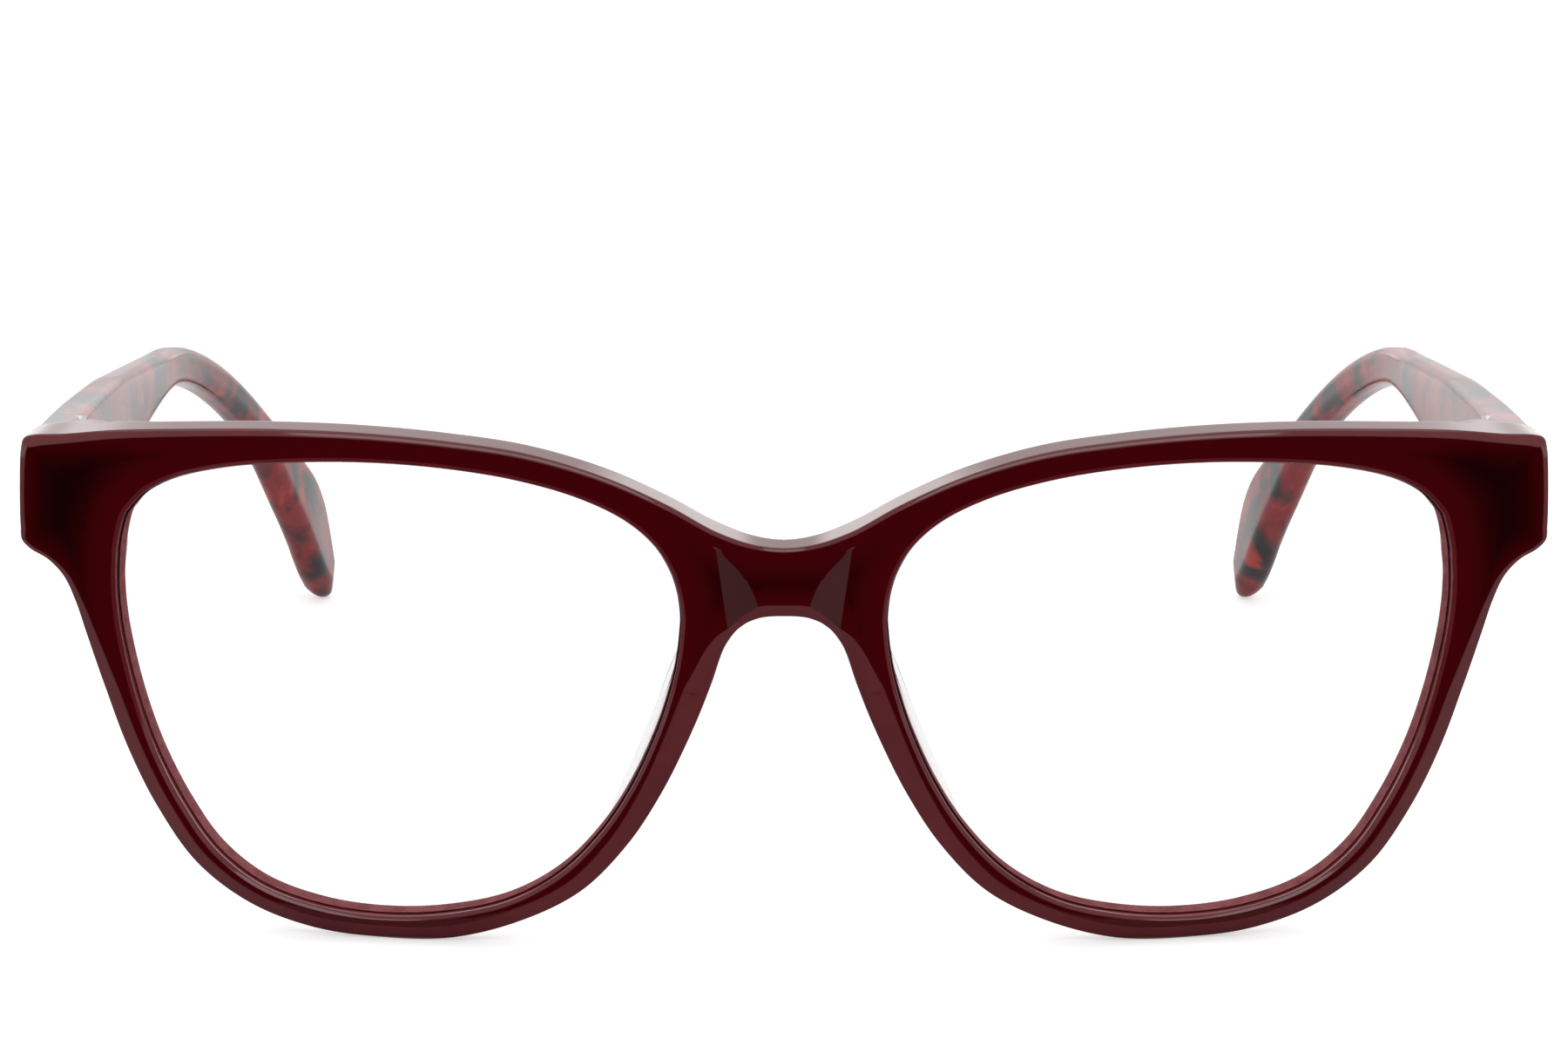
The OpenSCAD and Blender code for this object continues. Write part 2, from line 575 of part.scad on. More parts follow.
// Section of the pad from its root on one side, over its back, to its root on the other side
pad_rows = 13;
pad_profile = [
    [1, 0], [1, 0.3], [0.8, 0.62], [0.6, 0.88], [0.25, 1],
    [-0.2, 1], [-0.55, 0.9], [-0.8, 0.65], [-1, 0.3], [-1, 0]];
function pad_section(f) =
    let(across = -outward(pad_mid(f + 0.01) - pad_mid(f - 0.01)),
        size = sqrt(max(0.02, 1 - pow(2 * f - 1, 2))))
    [for (q = pad_profile)
        let(wide = q[0] * pad_t / 2 * lerp(1, 0.62, q[1]) * lerp(0.35, 1, size),
            p = bent(pad_mid(f) + across * (wide + pad_flare * q[1] * q[1] * size), front_t))
        [p[0], p[1] + glue_t + q[1] * pad_d * size, p[2]]];
module nose_pad(side) {
    points = [for (k = [0 : pad_rows - 1]) each pad_section(0.5 - 0.5 * cos(180 * k / (pad_rows - 1)))];
    faces = tube_faces(pad_rows, len(pad_profile));
    color([0.95, 0.93, 0.93, 0.6])
        seated()
            on_side(side)
                polyhedron(points = points, faces = faces, convexity = 4);
}

module front_hinge(side) {
    color([0.75, 0.75, 0.77])
        seated()
            on_side(side) {
                front_plate();
                for (k = [0, 2, 4])
                    barrel(k, screw_d)
                        union() {
                            cylinder(d = barrel_d, h = barrel_pitch - barrel_gap);
                            translate([-barrel_d / 2, end_y - hinge_y, 0])
                                cube([barrel_d, hinge_y - end_y, barrel_pitch - barrel_gap]);
                        }
            }
}

module temple_hinge(side) {
    color([0.75, 0.75, 0.77])
        seated()
            on_side(side) {
                temple_plate();
                for (k = [1, 3])
                    barrel(k, screw_d + 2 * turn_gap)
                        union() {
                            cylinder(d = barrel_d, h = barrel_pitch - barrel_gap);
                            translate([0, -barrel_d / 2, 0])
                                cube([temple_in_x - hinge_x, barrel_d, barrel_pitch - barrel_gap]);
                        }
            }
}

module hinge_screws() {
    color([0.8, 0.8, 0.82])
        seated()
            for (side = ["left", "right"])
                on_side(side)
                    screw_at_axis();
}

module core_bar(stations, gap) {
    polyhedron(points = core_points(stations, gap), faces = tube_faces(len(stations), 4), convexity = 6);
}

module temple(side) {
    faces = tube_faces(len(temple_stations), len(temple_points) / len(temple_stations));
    color([0.42, 0.06, 0.07])
        seated()
            on_side(side)
                difference() {
                    polyhedron(points = temple_points, faces = faces, convexity = 6);
                    temple_plate(plate_gap, 1);
                    core_bar(concat([-1], core_stations), core_gap);
                }
}

module core_wire(side) {
    color([0.7, 0.7, 0.72])
        seated()
            on_side(side)
                core_bar(core_stations, 0);
}

front();
lens("left");  // lens_left
lens("right");  // lens_right
nose_pad("left");  // nose_pad_left
nose_pad("right");  // nose_pad_right
front_hinge("left");  // front_hinge_left
front_hinge("right");  // front_hinge_right
temple_hinge("left");  // temple_hinge_left
temple_hinge("right");  // temple_hinge_right
hinge_screws();
temple("left");  // temple_left
temple("right");  // temple_right
core_wire("left");  // core_wire_left
core_wire("right");  // core_wire_right
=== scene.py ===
"""Butterfly eyeglasses: burgundy acetate front, clear lenses and pads, red havana temples, steel hinges.

Shapes are worked out in the front's own frame in millimetres (x along the front, y backwards, z up it) and
then stood on the table by stand_up(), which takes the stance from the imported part's hinge axis.
"""

import json

import bpy
import numpy as np
from math import cos, pi, radians, sin, tan
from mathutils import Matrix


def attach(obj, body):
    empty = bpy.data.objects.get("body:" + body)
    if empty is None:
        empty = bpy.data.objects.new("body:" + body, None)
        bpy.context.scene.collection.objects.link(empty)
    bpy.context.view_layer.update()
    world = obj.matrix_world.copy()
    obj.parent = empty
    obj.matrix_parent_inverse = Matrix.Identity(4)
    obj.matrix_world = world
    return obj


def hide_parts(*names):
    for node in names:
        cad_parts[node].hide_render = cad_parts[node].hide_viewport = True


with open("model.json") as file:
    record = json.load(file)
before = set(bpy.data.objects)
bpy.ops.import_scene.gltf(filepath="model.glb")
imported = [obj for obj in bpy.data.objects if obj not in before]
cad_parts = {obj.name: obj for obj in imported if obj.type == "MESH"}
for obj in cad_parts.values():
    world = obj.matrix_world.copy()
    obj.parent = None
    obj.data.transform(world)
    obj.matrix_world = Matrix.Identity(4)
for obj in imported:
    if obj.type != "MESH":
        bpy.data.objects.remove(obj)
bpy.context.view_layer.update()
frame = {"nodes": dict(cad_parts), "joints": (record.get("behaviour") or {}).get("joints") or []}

MM = 0.001

# ---------- Sizes of the glasses, in millimetres ----------
LENS_W, LENS_H, BRIDGE_GAP = 52.6, 44.1, 18.6
FRONT_T, WRAP_R, END_L = 3.4, 290.0, 9.2
ARCH_RISE, BRIDGE_H, BRIDGE_EXTRA, BRIDGE_SET_BACK = 7.6, 6.8, 0.8, 1.0
BRIDGE_SIDE_SLOPE, FACET_SLOPE, END_DEPTH = 15.0, 35.0, 3.1
LENS_T, LENS_BOW, GROOVE_D, LENS_GAP = 1.6, 1.3, 0.6, 0.08
PAD_D, PAD_T, PAD_FLARE, GLUE_T = 6.0, 2.3, 1.25, 0.03
TEMPLE_L, TEMPLE_T, TEMPLE_H, EAR_H, PADDLE_H = 148.0, 4.0, 10.5, 4.1, 10.2
PADDLE_L, TIP_ROUND, STRAIGHT_L, EAR_R, EAR_BEND = 29.0, 3.0, 82.7, 60.5, 62.0
EAR_TURN, PANTOSCOPIC, BUTT_GAP = 14.4, 9.0, 0.1
HINGE_H, BARREL_D, SCREW_D, SCREW_HEAD_D, BARREL_GAP = 7.5, 2.5, 1.2, 2.1, 0.06
PLATE_T, PLATE_PROUD, PLATE_L, SIDE_GAP, BACK_GAP = 1.0, 0.04, 9.0, 0.25, 0.95
BOTTOM_RIM, LENS_BEVEL, EDGE_R, BACK_R, GROOVE_HALF = 2.15, 0.3, 0.3, 0.55, 0.5
SCREW_HEAD_H = 0.5

# Cuts across the left rim, once round the lens: lens x, lens z, rim x, rim z, facet width.
# The lens edge is measured from the middle of the lens. On the bridge rim x is 0 and rim z
# is a share of the bridge's height; round the end piece the rim is measured from its corner.
BRIDGE_CUTS = [(-26.2, 6.3, 0, 0, 1.4), (-26.3, 7.7, 0, 0.33, 1.0), (-26.2, 9.2, 0, 0.67, 0.6),
               (-25.95, 10.65, 0, 1, 0.3)]
BROW_CUTS = [(-25.35, 12.45, -7.25, 2.45, 0.3), (-23.95, 14.8, -5.5, 1.45, 0.3),
             (-21.3, 17.15, -3.65, 1.65, 0.33), (-17, 19.25, -2, 2.2, 0.35),
             (-11.15, 20.85, -0.9, 2.55, 0.38), (-4.55, 21.75, -0.05, 2.6, 0.4),
             (2.4, 22.05, 0.5, 2.75, 0.43), (9.35, 21.75, 1.55, 3.05, 0.48), (15.55, 21, 3.35, 3.4, 0.54),
             (20.45, 19.7, 5.45, 4.15, 0.62), (23.05, 18.3, 7.8, 4.85, 0.7)]
END_CUTS = [(24.2, 17.2, 1.6, -0.25, 0.9), (24.8, 16.45, 0.65, -0.6, 0.9), (25.2, 15.9, 0.35, -1.65, 0.7),
            (25.65, 14.55, 0.1, -5.4, 0.6), (25.95, 13.25, 0, -9, 0.7), (26.1, 12.35, 0.1, -10.35, 0.6),
            (26.15, 11.65, 0.9, -11.2, 0.6), (26.25, 10.45, 2.65, -12.15, 0.6), (26.3, 9.05, 4, -13.65, 0.8),
            (26.25, 7, 4.95, -15.9, 1.0)]
RIM_CUTS = [(25.9, 3.8, 3.75, 0, 1.4), (24.75, -1.7, 3.3, -0.1, 1.9), (23.05, -6.95, 3, -0.7, 2.0),
            (20.6, -12, 2.8, -1.15, 2.0), (17.6, -16.35, 2.15, -1.95, 1.9), (13.45, -19.55, 1.2, -2.4, 1.8),
            (7.85, -21.4, 0.7, -2.55, 1.7), (1.9, -22, 0.3, -2.55, 1.7), (-4.15, -21.55, -0.3, -2.75, 1.7),
            (-10.1, -20, -0.85, -2.4, 1.7), (-15.1, -16.95, -1.6, -2.3, 1.7),
            (-19.05, -12.6, -2.05, -1.95, 1.8), (-21.85, -8, -2.4, -1.55, 2.0),
            (-24.15, -2.65, -2.55, -1.85, 2.25), (-25.2, 0.7, -3.6, -0.05, 2.4),
            (-25.7, 2.7, -4.65, 2.45, 1.5), (-25.95, 4.15, -5.85, 2.8, 0.9), (-26.1, 5.25, -7.3, 2.2, 1.52)]
CUTS = np.array(BRIDGE_CUTS + BROW_CUTS + END_CUTS + RIM_CUTS, float)
CUT_N = len(CUTS)
LAST_BRIDGE = len(BRIDGE_CUTS) - 1
LAST_BROW = LAST_BRIDGE + len(BROW_CUTS)
LAST_END = LAST_BROW + len(END_CUTS)
CUT_STEPS = 10

LENS_MID = np.array([BRIDGE_GAP / 2 + LENS_W / 2, BOTTOM_RIM + LENS_H / 2])
ARCH_Z = LENS_MID[1] + ARCH_RISE
END_CORNER = np.array([BRIDGE_GAP / 2 + LENS_W + END_L, LENS_MID[1] + LENS_H / 2 + 1])
GROOVE_Y = FRONT_T / 2
HOLD_Y = GROOVE_Y + 0.75
REAR_BEVEL, BEVEL_LOW, BEVEL_TOP = 0.4, 0.32, 0.52

# The hinge seat at the back of the end piece: margin inside the barrels and ease along x, start below the
# corner and ease up z; then the way out of it above the hinge: up z, inwards along x, and its share.
SEAT_MARGIN, SEAT_EASE, SEAT_DROP, SEAT_RISE = 0.6, 4.0, 13.6, 2.2
SEAT_TOP, SEAT_TOP_EASE, SEAT_TOP_IN, SEAT_TOP_SIDE, SEAT_TOP_SHARE = 1.7, 1.5, 0.3, 2.5, 0.8

# The bridge: half width and power of its dish; the line where a side facet starts, in from the opening, with
# its lean and its curl near the top; the ease of its thickness and its build; the facet and rows at the arch.
DISH_HALF, DISH_POWER = BRIDGE_GAP / 2 - 2.7, 1.5
LINE_IN, LINE_LEAN, LINE_CURL, CURL_FROM = 4.1, 0.14, 2.0, 0.2
BRIDGE_EASE, BUILD_HALF = 1.4, 8.0
ARCH_FALL, ARCH_LIFT, LIFT_ROWS = 0.2, 1.25, 16
# Where the section's columns start to follow the bridge's facets.
NEAR_BRIDGE, NEAR_EASE, HALVINGS = 8.5, 3, 26

# Marks of the front's points, and how deep the painted light, which makes the acetate brighter, reaches in from
# its outline.
FACET_MARK, WALL_MARK, WING_EDGE, SAME_PLACE = 0.6, 1, 0.003, 1e-5
LIT_DEPTH, END_LIT_FARTHER, END_LIT_R, END_LIT_EASE = 3, 1.7, 17, 9


def wrap_depth(s, n):
    """Depth of a point s along the sheet and n behind its face: the wrap's radius less (the radius less n)
    times the cosine of s / radius."""
    return WRAP_R - (WRAP_R - n) * np.cos(s / WRAP_R)


END_Y = wrap_depth(END_CORNER[0] - END_L, FRONT_T) + END_DEPTH
TEMPLE_OUT = (WRAP_R - FRONT_T) * sin(END_CORNER[0] / WRAP_R)
TEMPLE_IN = TEMPLE_OUT - TEMPLE_T
HINGE = np.array([TEMPLE_IN - SIDE_GAP - BARREL_D / 2, END_Y + BACK_GAP + BARREL_D / 2,
                  END_CORNER[1] - 5.7])
TEMPLE_Y = END_Y + BUTT_GAP
BEND_L = EAR_R * radians(EAR_BEND)


# ---------- From the front's own frame to the table ----------
left_fold = next(j for j in frame["joints"] if j["name"] == "temple_left_fold")


def stand_up(points):
    """Tips points about x by the lean of the hinge axis and moves the hinge point to the joint's place."""
    axis, place = np.array(left_fold["axis"], float), np.array(left_fold["pos_m"], float) / MM
    lean = np.arctan2(-axis[1], axis[2])
    turn = np.array([[1, 0, 0], [0, np.cos(lean), -np.sin(lean)], [0, np.sin(lean), np.cos(lean)]])
    return (points @ turn.T + (place - turn @ HINGE)) * MM


# ---------- Small shape tools ----------
def smooth_step(v):
    """Ease from 0 to 1: three times v squared less twice v cubed, with v held between 0 and 1."""
    c = np.clip(v, 0, 1)
    return c * c * (3 - 2 * c)


def mix(a, b, f):
    """Straight line from a to b."""
    return a + (b - a) * f


def unit(v):
    """Vectors brought to length 1."""
    return v / np.maximum(np.linalg.norm(v, axis=-1, keepdims=True), 1e-12)


def spline(a, b, c, d, f):
    """Centripetal curve through four rows of points, from b at f = 0 to c at f = 1."""
    def root(v):
        return np.sqrt(np.linalg.norm(v, axis=-1))[:, None, None]
    t1 = root(b - a)
    t2 = t1 + root(c - b)
    t3 = t2 + root(d - c)
    a, b, c, d = (p[:, None, :] for p in (a, b, c, d))
    t = mix(t1, t2, f[None, :, None])
    ab, bc, cd = mix(a, b, t / t1), mix(b, c, (t - t1) / (t2 - t1)), mix(c, d, (t - t2) / (t3 - t2))
    abc, bcd = mix(ab, bc, t / t2), mix(bc, cd, (t - t1) / (t3 - t1))
    return mix(abc, bcd, (t - t1) / (t2 - t1))


def square_off(curve):
    """Unit vectors square to a closed curve, away from the lens."""
    along = np.roll(curve, -1, 0) - np.roll(curve, 1, 0)
    return unit(np.stack([-along[:, 1], along[:, 0]], 1))


def rim_curves():
    """Lens edge, outer edge and facet width along the cuts, and a mark for rows that end on the middle line."""
    c = CUTS
    lens = LENS_MID + c[:, :2]
    i = np.arange(CUT_N)
    on_bridge = i <= LAST_BRIDGE
    on_end = (i > LAST_BROW) & (i <= LAST_END)
    outer = lens + c[:, 2:4]
    outer[on_bridge] = np.stack([np.zeros(LAST_BRIDGE + 1), ARCH_Z + c[:LAST_BRIDGE + 1, 3] * BRIDGE_H], 1)
    outer[on_end] = END_CORNER + c[on_end, 2:4] * (-1, 1)
    f = np.arange(CUT_STEPS) / CUT_STEPS
    lens_rows = spline(*(np.roll(lens, k, 0) for k in (1, 0, -1, -2)), f).reshape(-1, 2)
    before, after = np.roll(outer, 1, 0), np.roll(outer, -2, 0)
    before[LAST_BRIDGE] = outer[LAST_BRIDGE + 1] * (-1, 1)
    after[CUT_N - 1] = outer[CUT_N - 1] * (-1, 1)
    outer_rows = spline(before, outer, np.roll(outer, -1, 0), after, f)
    straight = mix(outer[:, None, :], np.roll(outer, -1, 0)[:, None, :], f[None, :, None])
    outer_rows = np.where((i < LAST_BRIDGE)[:, None, None], straight, outer_rows).reshape(-1, 2)
    wide = mix(c[:, 4:5], np.roll(c[:, 4:5], -1, 0), f[None, :]).reshape(-1)
    row = np.arange(CUT_N * CUT_STEPS)
    middle = (row > 0) & (row < LAST_BRIDGE * CUT_STEPS)
    share = (outer_rows[middle, 1] - ARCH_Z) / BRIDGE_H
    outer_rows[middle, 1] = mix(ARCH_Z + c[0, 4], ARCH_Z + BRIDGE_H - c[LAST_BRIDGE, 4], share)
    return lens_rows, outer_rows, wide, middle


def seat_share(x, z):
    """Share of the flat hinge seat at the back of the end piece: a smooth step along x, times one up z,
    times 1 less a share of the step that leads out of it above the hinge."""
    above = (smooth_step((z - (END_CORNER[1] - SEAT_TOP)) / SEAT_TOP_EASE)
             * smooth_step((TEMPLE_IN - SEAT_TOP_IN - x) / SEAT_TOP_SIDE))
    along_x = smooth_step((x - (HINGE[0] - BARREL_D / 2 - SEAT_MARGIN - SEAT_EASE)) / SEAT_EASE)
    up_z = smooth_step((z - (END_CORNER[1] - SEAT_DROP)) / SEAT_RISE)
    return along_x * up_z * (1 - SEAT_TOP_SHARE * above)


def dish_depth(x):
    """Depth of the shallow dish in the middle of the bridge: the set-back times (1 less (x / half width)
    squared) to the power 1.5."""
    return BRIDGE_SET_BACK * (1 - np.minimum(np.abs(x) / DISH_HALF, 1) ** 2) ** DISH_POWER


def side_facet_depth(x, z):
    """Depth of the flat facet at the side of the bridge: the tangent of its slope times the way in from its
    starting line. The line leans outwards as it rises, and curls out by a square near the top."""
    over = z - ARCH_Z
    curl = LINE_CURL * np.maximum(0, over - BRIDGE_H - CURL_FROM) ** 2
    return tan(radians(BRIDGE_SIDE_SLOPE)) * (BRIDGE_GAP / 2 - LINE_IN + LINE_LEAN * over + curl - x)


def set_back(x, z):
    """How far the bridge lies back: the smaller of the dish and the side facet."""
    return np.maximum(0, np.minimum(side_facet_depth(x, z), dish_depth(x)))


def bent(p):
    """Points x, z, depth of the flat sheet bent round the wrap. Across, a point lies at (the radius less
    its depth) times the sine of x / radius; its depth is the wrap's, plus the seat and a bell-shaped build
    of the bridge by a share that grows towards the back, plus the set-back by a share that falls to 0 at
    the back."""
    x, z, n = p[..., 0], p[..., 1], p[..., 2]
    on_bridge = 1 - smooth_step((x - DISH_HALF) / BRIDGE_EASE)
    back = np.maximum(np.clip((n - HOLD_Y) / (FRONT_T - HOLD_Y), 0, 1), on_bridge * n / FRONT_T)
    seat = seat_share(x, z) * (END_Y - wrap_depth(x, FRONT_T))
    build = BRIDGE_EXTRA * np.exp(-(x / BUILD_HALF) ** 2)
    depth = wrap_depth(x, n) + back * (seat + build) + (1 - n / FRONT_T) * set_back(x, z)
    return np.stack([(WRAP_R - n) * np.sin(x / WRAP_R), depth, z], -1)


def at(p, n):
    """Sheet points with a depth."""
    return np.concatenate([p, np.broadcast_to(np.asarray(n, float).reshape(-1, 1), (len(p), 1))], 1)


def rounded(corners, radii, bits, fills):
    """Closed rows through corners, each rounded by a parabola of its radius in so many bits.
    The straight after a corner gets so many fill points."""
    points, n = [], len(corners)
    starts, ends = [], []
    for k in range(n):
        here = corners[k]
        to_last, to_next = corners[k - 1] - here, corners[(k + 1) % n] - here
        room = 0.45 * np.minimum(np.linalg.norm(to_last, axis=1), np.linalg.norm(to_next, axis=1))
        r = np.minimum(radii[k], room)[:, None]
        starts.append(here + unit(to_last) * r)
        ends.append(here + unit(to_next) * r)
    for k in range(n):
        t = np.linspace(0, 1, bits[k])[None, :, None]
        a, b, c = starts[k][:, None], corners[k][:, None], ends[k][:, None]
        points.append((1 - t) ** 2 * a + 2 * t * (1 - t) * b + t * t * c)
        if fills[k]:
            t = (1 - np.cos(pi * np.arange(1, fills[k] + 1) / (fills[k] + 1)))[None, :, None] / 2
            points.append(mix(ends[k][:, None], starts[(k + 1) % n][:, None], t))
    return np.concatenate(points, 1)


def grid_faces(rows, cols, round_rows, round_cols):
    """Four-cornered faces of a grid of rows and columns, closed on itself where asked."""
    r = np.arange(rows if round_rows else rows - 1)[:, None]
    c = np.arange(cols if round_cols else cols - 1)[None, :]
    r2, c2 = (r + 1) % rows, (c + 1) % cols
    return np.stack([r * cols + c, r * cols + c2, r2 * cols + c2, r2 * cols + c], -1).reshape(-1, 4)


def mirrored(shell):
    """The wearer's right side: x negated and the faces turned to point outwards again."""
    points, faces = shell
    return points * (-1, 1, 1), [f[:, ::-1] for f in faces]


def joined(*shells):
    """Several shells as one list of points and faces."""
    points, faces, start = [], [], 0
    for p, fs in shells:
        points.append(p)
        faces += [f + start for f in fs]
        start += len(p)
    return np.concatenate(points), faces


def tube(rings, flip=False):
    """A stack of closed rings, closed at both ends with a fan to each end's middle."""
    n, m = rings.shape[:2]
    points = np.concatenate([rings.reshape(-1, 3), rings[0].mean(0)[None], rings[-1].mean(0)[None]])
    c = np.arange(m)
    c2 = (c + 1) % m
    walls = grid_faces(n, m, False, True)
    first = np.stack([np.full(m, n * m), c2, c], 1)
    last = np.stack([np.full(m, n * m + 1), (n - 1) * m + c, (n - 1) * m + c2], 1)
    faces = [walls, first, last]
    return points, [f[:, ::-1] for f in faces] if flip else faces


def new_object(name, points, faces, material):
    """A mesh object in the scene."""
    mesh = bpy.data.meshes.new(name)
    mesh.from_pydata(points, [], faces)
    mesh.materials.append(material)
    thing = bpy.data.objects.new(name, mesh)
    bpy.context.scene.collection.objects.link(thing)
    return thing


def make_piece(name, shell, material, body, slot, node, marks=None):
    """A shell stood on the table, riding on its body in place of a node. Marks are values for each point."""
    points, faces = shell
    corners = [tuple(f) for fs in faces for f in fs.tolist()]
    piece = new_object(name, stand_up(points).tolist(), corners, material)
    mesh = piece.data
    mesh.polygons.foreach_set("use_smooth", np.ones(len(mesh.polygons), bool))
    for key, values in (marks or {}).items():
        layer = mesh.attributes.new(key, "FLOAT", "POINT")
        layer.data.foreach_set("value", np.asarray(values, np.float32))
    mesh.update()
    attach(piece, body)
    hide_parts(node)


# ---------- Front ----------
def share_where(path, count, reached):
    """Share of each row's path from which the test holds, found by halving; 1 where it never does."""
    low, high = np.zeros(count), np.ones(count)
    for _ in range(HALVINGS):
        half = (low + high) / 2
        inside = reached(path(half))
        high, low = np.where(inside, half, high), np.where(inside, low, half)
    return high


def front_shell():
    """Both halves of the front: the rim's section carried once round the lens, mirrored and joined in the
    middle. Two columns of the section follow the edges of the bridge's side facets. The rows above the arch
    are raised by f squared times (1 less f), to pass over the arch's facet. The marks for each point are how
    much of a cut edge it lies on; how near the outline it is, 1 / (1 + (distance / depth) to the power 4),
    because more light gets into the sheet there (less in the thicker end piece); and whether it lies on a
    side facet of the bridge."""
    lens, outer, wide, middle = rim_curves()
    in_lens, in_rim = square_off(lens), square_off(outer)
    first_top = LAST_BRIDGE * CUT_STEPS
    in_rim[0], in_rim[first_top] = (0, -1), (0, 1)
    off = np.where(middle, 0.0, 1.0)
    fall = np.where(middle, ARCH_FALL, wide * tan(radians(FACET_SLOPE)))
    bevel = lens + in_lens * mix(BEVEL_LOW, BEVEL_TOP, (1 + in_lens[:, 1:]) / 2)
    rear = lens + in_lens * REAR_BEVEL
    facet = outer - in_rim * (wide * off)[:, None]
    near_bridge = smooth_step((NEAR_BRIDGE - facet[:, 0]) / NEAR_EASE)
    row = np.arange(len(lens))
    row = np.where(row > len(lens) / 2, row - len(lens), row)
    arch_lift = ARCH_LIFT * np.where(row <= 0, smooth_step((row + LIFT_ROWS) / LIFT_ROWS),
                                     1 - smooth_step(row / first_top))

    def across(f):
        lift = arch_lift * 27 / 4 * f * f * (1 - f)
        return mix(bevel, facet, f[:, None]) + lift[:, None] * (0, 1)
    start = share_where(across, len(lens), lambda p: side_facet_depth(p[:, 0], p[:, 1]) > 0)
    end = share_where(across, len(lens), lambda p: side_facet_depth(p[:, 0], p[:, 1]) > dish_depth(p[:, 0]))
    # Away from the bridge the two columns lie at fixed shares of the face.
    first = mix(0.3, np.minimum(start, 0.92), near_bridge)
    second = np.maximum(mix(0.5, np.minimum(end, 0.96), near_bridge), first + 0.02)
    first, second = across(first), across(second)
    corners = [at(lens, FRONT_T - REAR_BEVEL), at(lens, GROOVE_Y + GROOVE_HALF),
               at(lens + in_lens * GROOVE_D, GROOVE_Y), at(lens, GROOVE_Y - GROOVE_HALF),
               at(lens, LENS_BEVEL), at(bevel, 0), at(first, 0), at(second, 0), at(facet, 0),
               at(outer, fall), at(outer, FRONT_T), at(rear, FRONT_T)]
    bevel_back, facet_front = 4, 8
    radii = [0.08, 0.05, 0.1, 0.05, 0.1, 0.1, 0.08, 0.12, 0.1 * off, EDGE_R * off, BACK_R * off, 0.08]
    bits = [3, 3, 3, 3, 4, 4, 3, 4, 4, 8, 7, 3]
    fills = [0, 0, 0, 0, 2, 8, 8, 10, 4, 3, 8, 0]
    rows = rounded(corners, radii, bits, fills)
    row_n, col_n = rows.shape[:2]
    first_column = np.cumsum([0] + bits) + np.cumsum([0] + fills)
    edge = np.zeros((row_n, col_n))
    edge[:, :first_column[bevel_back + 1] + 1] = FACET_MARK
    edge[:, first_column[facet_front] + 2:] = FACET_MARK
    edge[:, :first_column[bevel_back] + 1] = WALL_MARK
    side_facet, dish = side_facet_depth(rows[..., 0], rows[..., 1]), dish_depth(rows[..., 0])
    on_wing = (rows[..., 2] == 0) & (side_facet > WING_EDGE) & (side_facet < dish - WING_EDGE)
    edge[on_wing] = FACET_MARK
    # Nothing closes the halves on the middle line, where they share their points.
    half = bent(rows).reshape(-1, 3)
    half[np.abs(half[:, 0]) < 1e-6, 0] = 0
    faces = grid_faces(row_n, col_n, True, True)
    faces = faces[~(half[faces][:, :, 0] == 0).all(1)]
    count = len(half)
    twin = np.where(half[:, 0] == 0, np.arange(count), np.arange(count) + count)
    points = np.concatenate([half, half * (-1, 1, 1)])
    faces = np.concatenate([faces, twin[faces][:, ::-1]])
    flat = rows[..., :2].reshape(-1, 2)
    outline = np.concatenate([lens, outer[~middle]])
    off_end = np.hypot(outer[:, 0] - END_CORNER[0], (outer[:, 1] - END_CORNER[1] + 6) * 0.8)
    farther = END_LIT_FARTHER * smooth_step((END_LIT_R - off_end) / END_LIT_EASE)
    farther = np.concatenate([np.zeros(len(lens)), farther[~middle]])
    distance = np.concatenate([(np.sqrt(((part[:, None] - outline[None]) ** 2).sum(2)) + farther).min(1)
                               for part in np.array_split(flat, 40)])
    lit = 1 / (1 + (distance / LIT_DEPTH) ** 4)
    # Points that lie on top of each other are made one, so that the surface is closed.
    keys = np.round(points / SAME_PLACE).astype(np.int64)
    _, kept, back = np.unique(keys, axis=0, return_index=True, return_inverse=True)
    faces = back.reshape(-1)[faces]
    pinched = (faces == np.roll(faces, 1, 1)).any(1)
    loose = [np.array(list(dict.fromkeys(f))) for f in faces[pinched].tolist()]
    threes = np.array([f for f in loose if len(f) == 3], int).reshape(-1, 3)
    marks = {"cut_edge": edge.reshape(-1), "edge_light": lit, "wing": on_wing.reshape(-1)}
    return (points[kept], [faces[~pinched], threes]), {k: np.tile(v, 2)[kept] for k, v in marks.items()}


# ---------- Lenses ----------
RIM_CLEARANCE = 0.15


